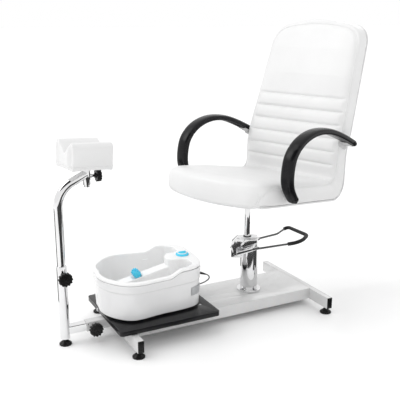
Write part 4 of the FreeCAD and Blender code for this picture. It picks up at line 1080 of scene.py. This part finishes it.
def stage():
    corners = [(x * FLOOR_HALF, y * FLOOR_HALF, 0) for x, y in ((-1, -1), (1, -1), (1, 1), (-1, 1))]
    floor_mesh = from_faces("floor", corners, [(0, 1, 2, 3)])
    floor = bpy.data.objects.new("floor", floor_mesh)
    bpy.context.scene.collection.objects.link(floor)
    floor_mesh.materials.append(FLOOR_PALE)
    for number, details in enumerate(FLAGS):
        flag(f"flag_{number}", *details)

    world = bpy.data.worlds.new("studio")
    bpy.context.scene.world = world
    world.use_nodes = True
    tree = world.node_tree
    background = tree.nodes["Background"]
    background.inputs["Color"].default_value = (1, 1, 1, 1)
    background.inputs["Strength"].default_value = 1.0
    bpy.context.scene.view_settings.view_transform = "Standard"

    sun_data = bpy.data.lights.new("sun", "SUN")
    sun_data.energy = SUN_ENERGY
    sun_data.angle = math.radians(50)
    sun = bpy.data.objects.new("sun", sun_data)
    bpy.context.scene.collection.objects.link(sun)
    sun.rotation_euler = (math.radians(34), math.radians(-14), 0)
    area_light("key", (-1.2, -3.2, 3.6), (0, 0, 0.6), (2.2, 2.2), KEY_ENERGY)
    area_light("rim", (-2.2, 3.2, 2.8), (0, 0.2, 0.8), (2.0, 1.4), RIM_ENERGY)


# Dark cards that only gloss sees, laid round a spot: (node, first and last bearing in degrees from +X,
# nearest and furthest distance in metres, height above the floor).
FLAGS = (("pump_column", -50, -24, 1.25, 3.2, 0.003), ("pump_column", 24, 84, 0.42, 3.0, 0.003),
         ("pump_column", 150, 205, 0.5, 2.6, 0.003), ("upper_post", -22, 52, 0.5, 3.0, 0.004),
         ("upper_post", -150, -116, 0.5, 2.2, 0.004), ("upper_post", -95, 35, 0.02, 2.6, 2.2))


def flag(name, node, first, last, near, far, height):
    """A black card, as photographers use to give chrome its dark lines."""
    low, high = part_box(node)
    middle = (low + high) / 2
    steps, points = 10, []
    for k in range(steps + 1):
        a = math.radians(first + (last - first) * k / steps)
        for r in (near, far):
            points.append((middle.x + r * math.cos(a), middle.y + r * math.sin(a), height))
    faces = [(2 * k, 2 * k + 1, 2 * k + 3, 2 * k + 2) for k in range(steps)]
    card = bpy.data.objects.new(name, from_faces(name, points, faces))
    bpy.context.scene.collection.objects.link(card)
    card.data.materials.append(FLAG_BLACK)
    card.visible_camera = False
    card.visible_diffuse = False
    card.visible_shadow = False
    card.visible_transmission = False


SENSOR, FOCAL_SHARE = 36, 667.31 / 400           # in mm, and the focal length in frame widths
CAMERA_FROM_ROD = Vector((2.4207, -1.4836, 1.2640))
CAMERA_DOWN, CAMERA_TURN = math.radians(15.17), math.radians(62.75)


def camera():
    data = bpy.data.cameras.new("photo_view")
    data.sensor_width = SENSOR
    data.lens = SENSOR * FOCAL_SHARE
    cam = bpy.data.objects.new("photo_view", data)
    bpy.context.scene.collection.objects.link(cam)
    cam.location = ROD_AT + CAMERA_FROM_ROD
    cam.rotation_euler = (math.radians(90) - CAMERA_DOWN, 0, CAMERA_TURN)
    bpy.context.scene.camera = cam


camera()
stage()
cord()
seat_cushion, back_cushion, seam_path = upholstery()
piping(seat_cushion, back_cushion, seam_path)
for arm_side in (1, -1):
    arm(arm_side)
arm_end_caps()
arm_brackets()
footrest()
tub()
hard_pieces()
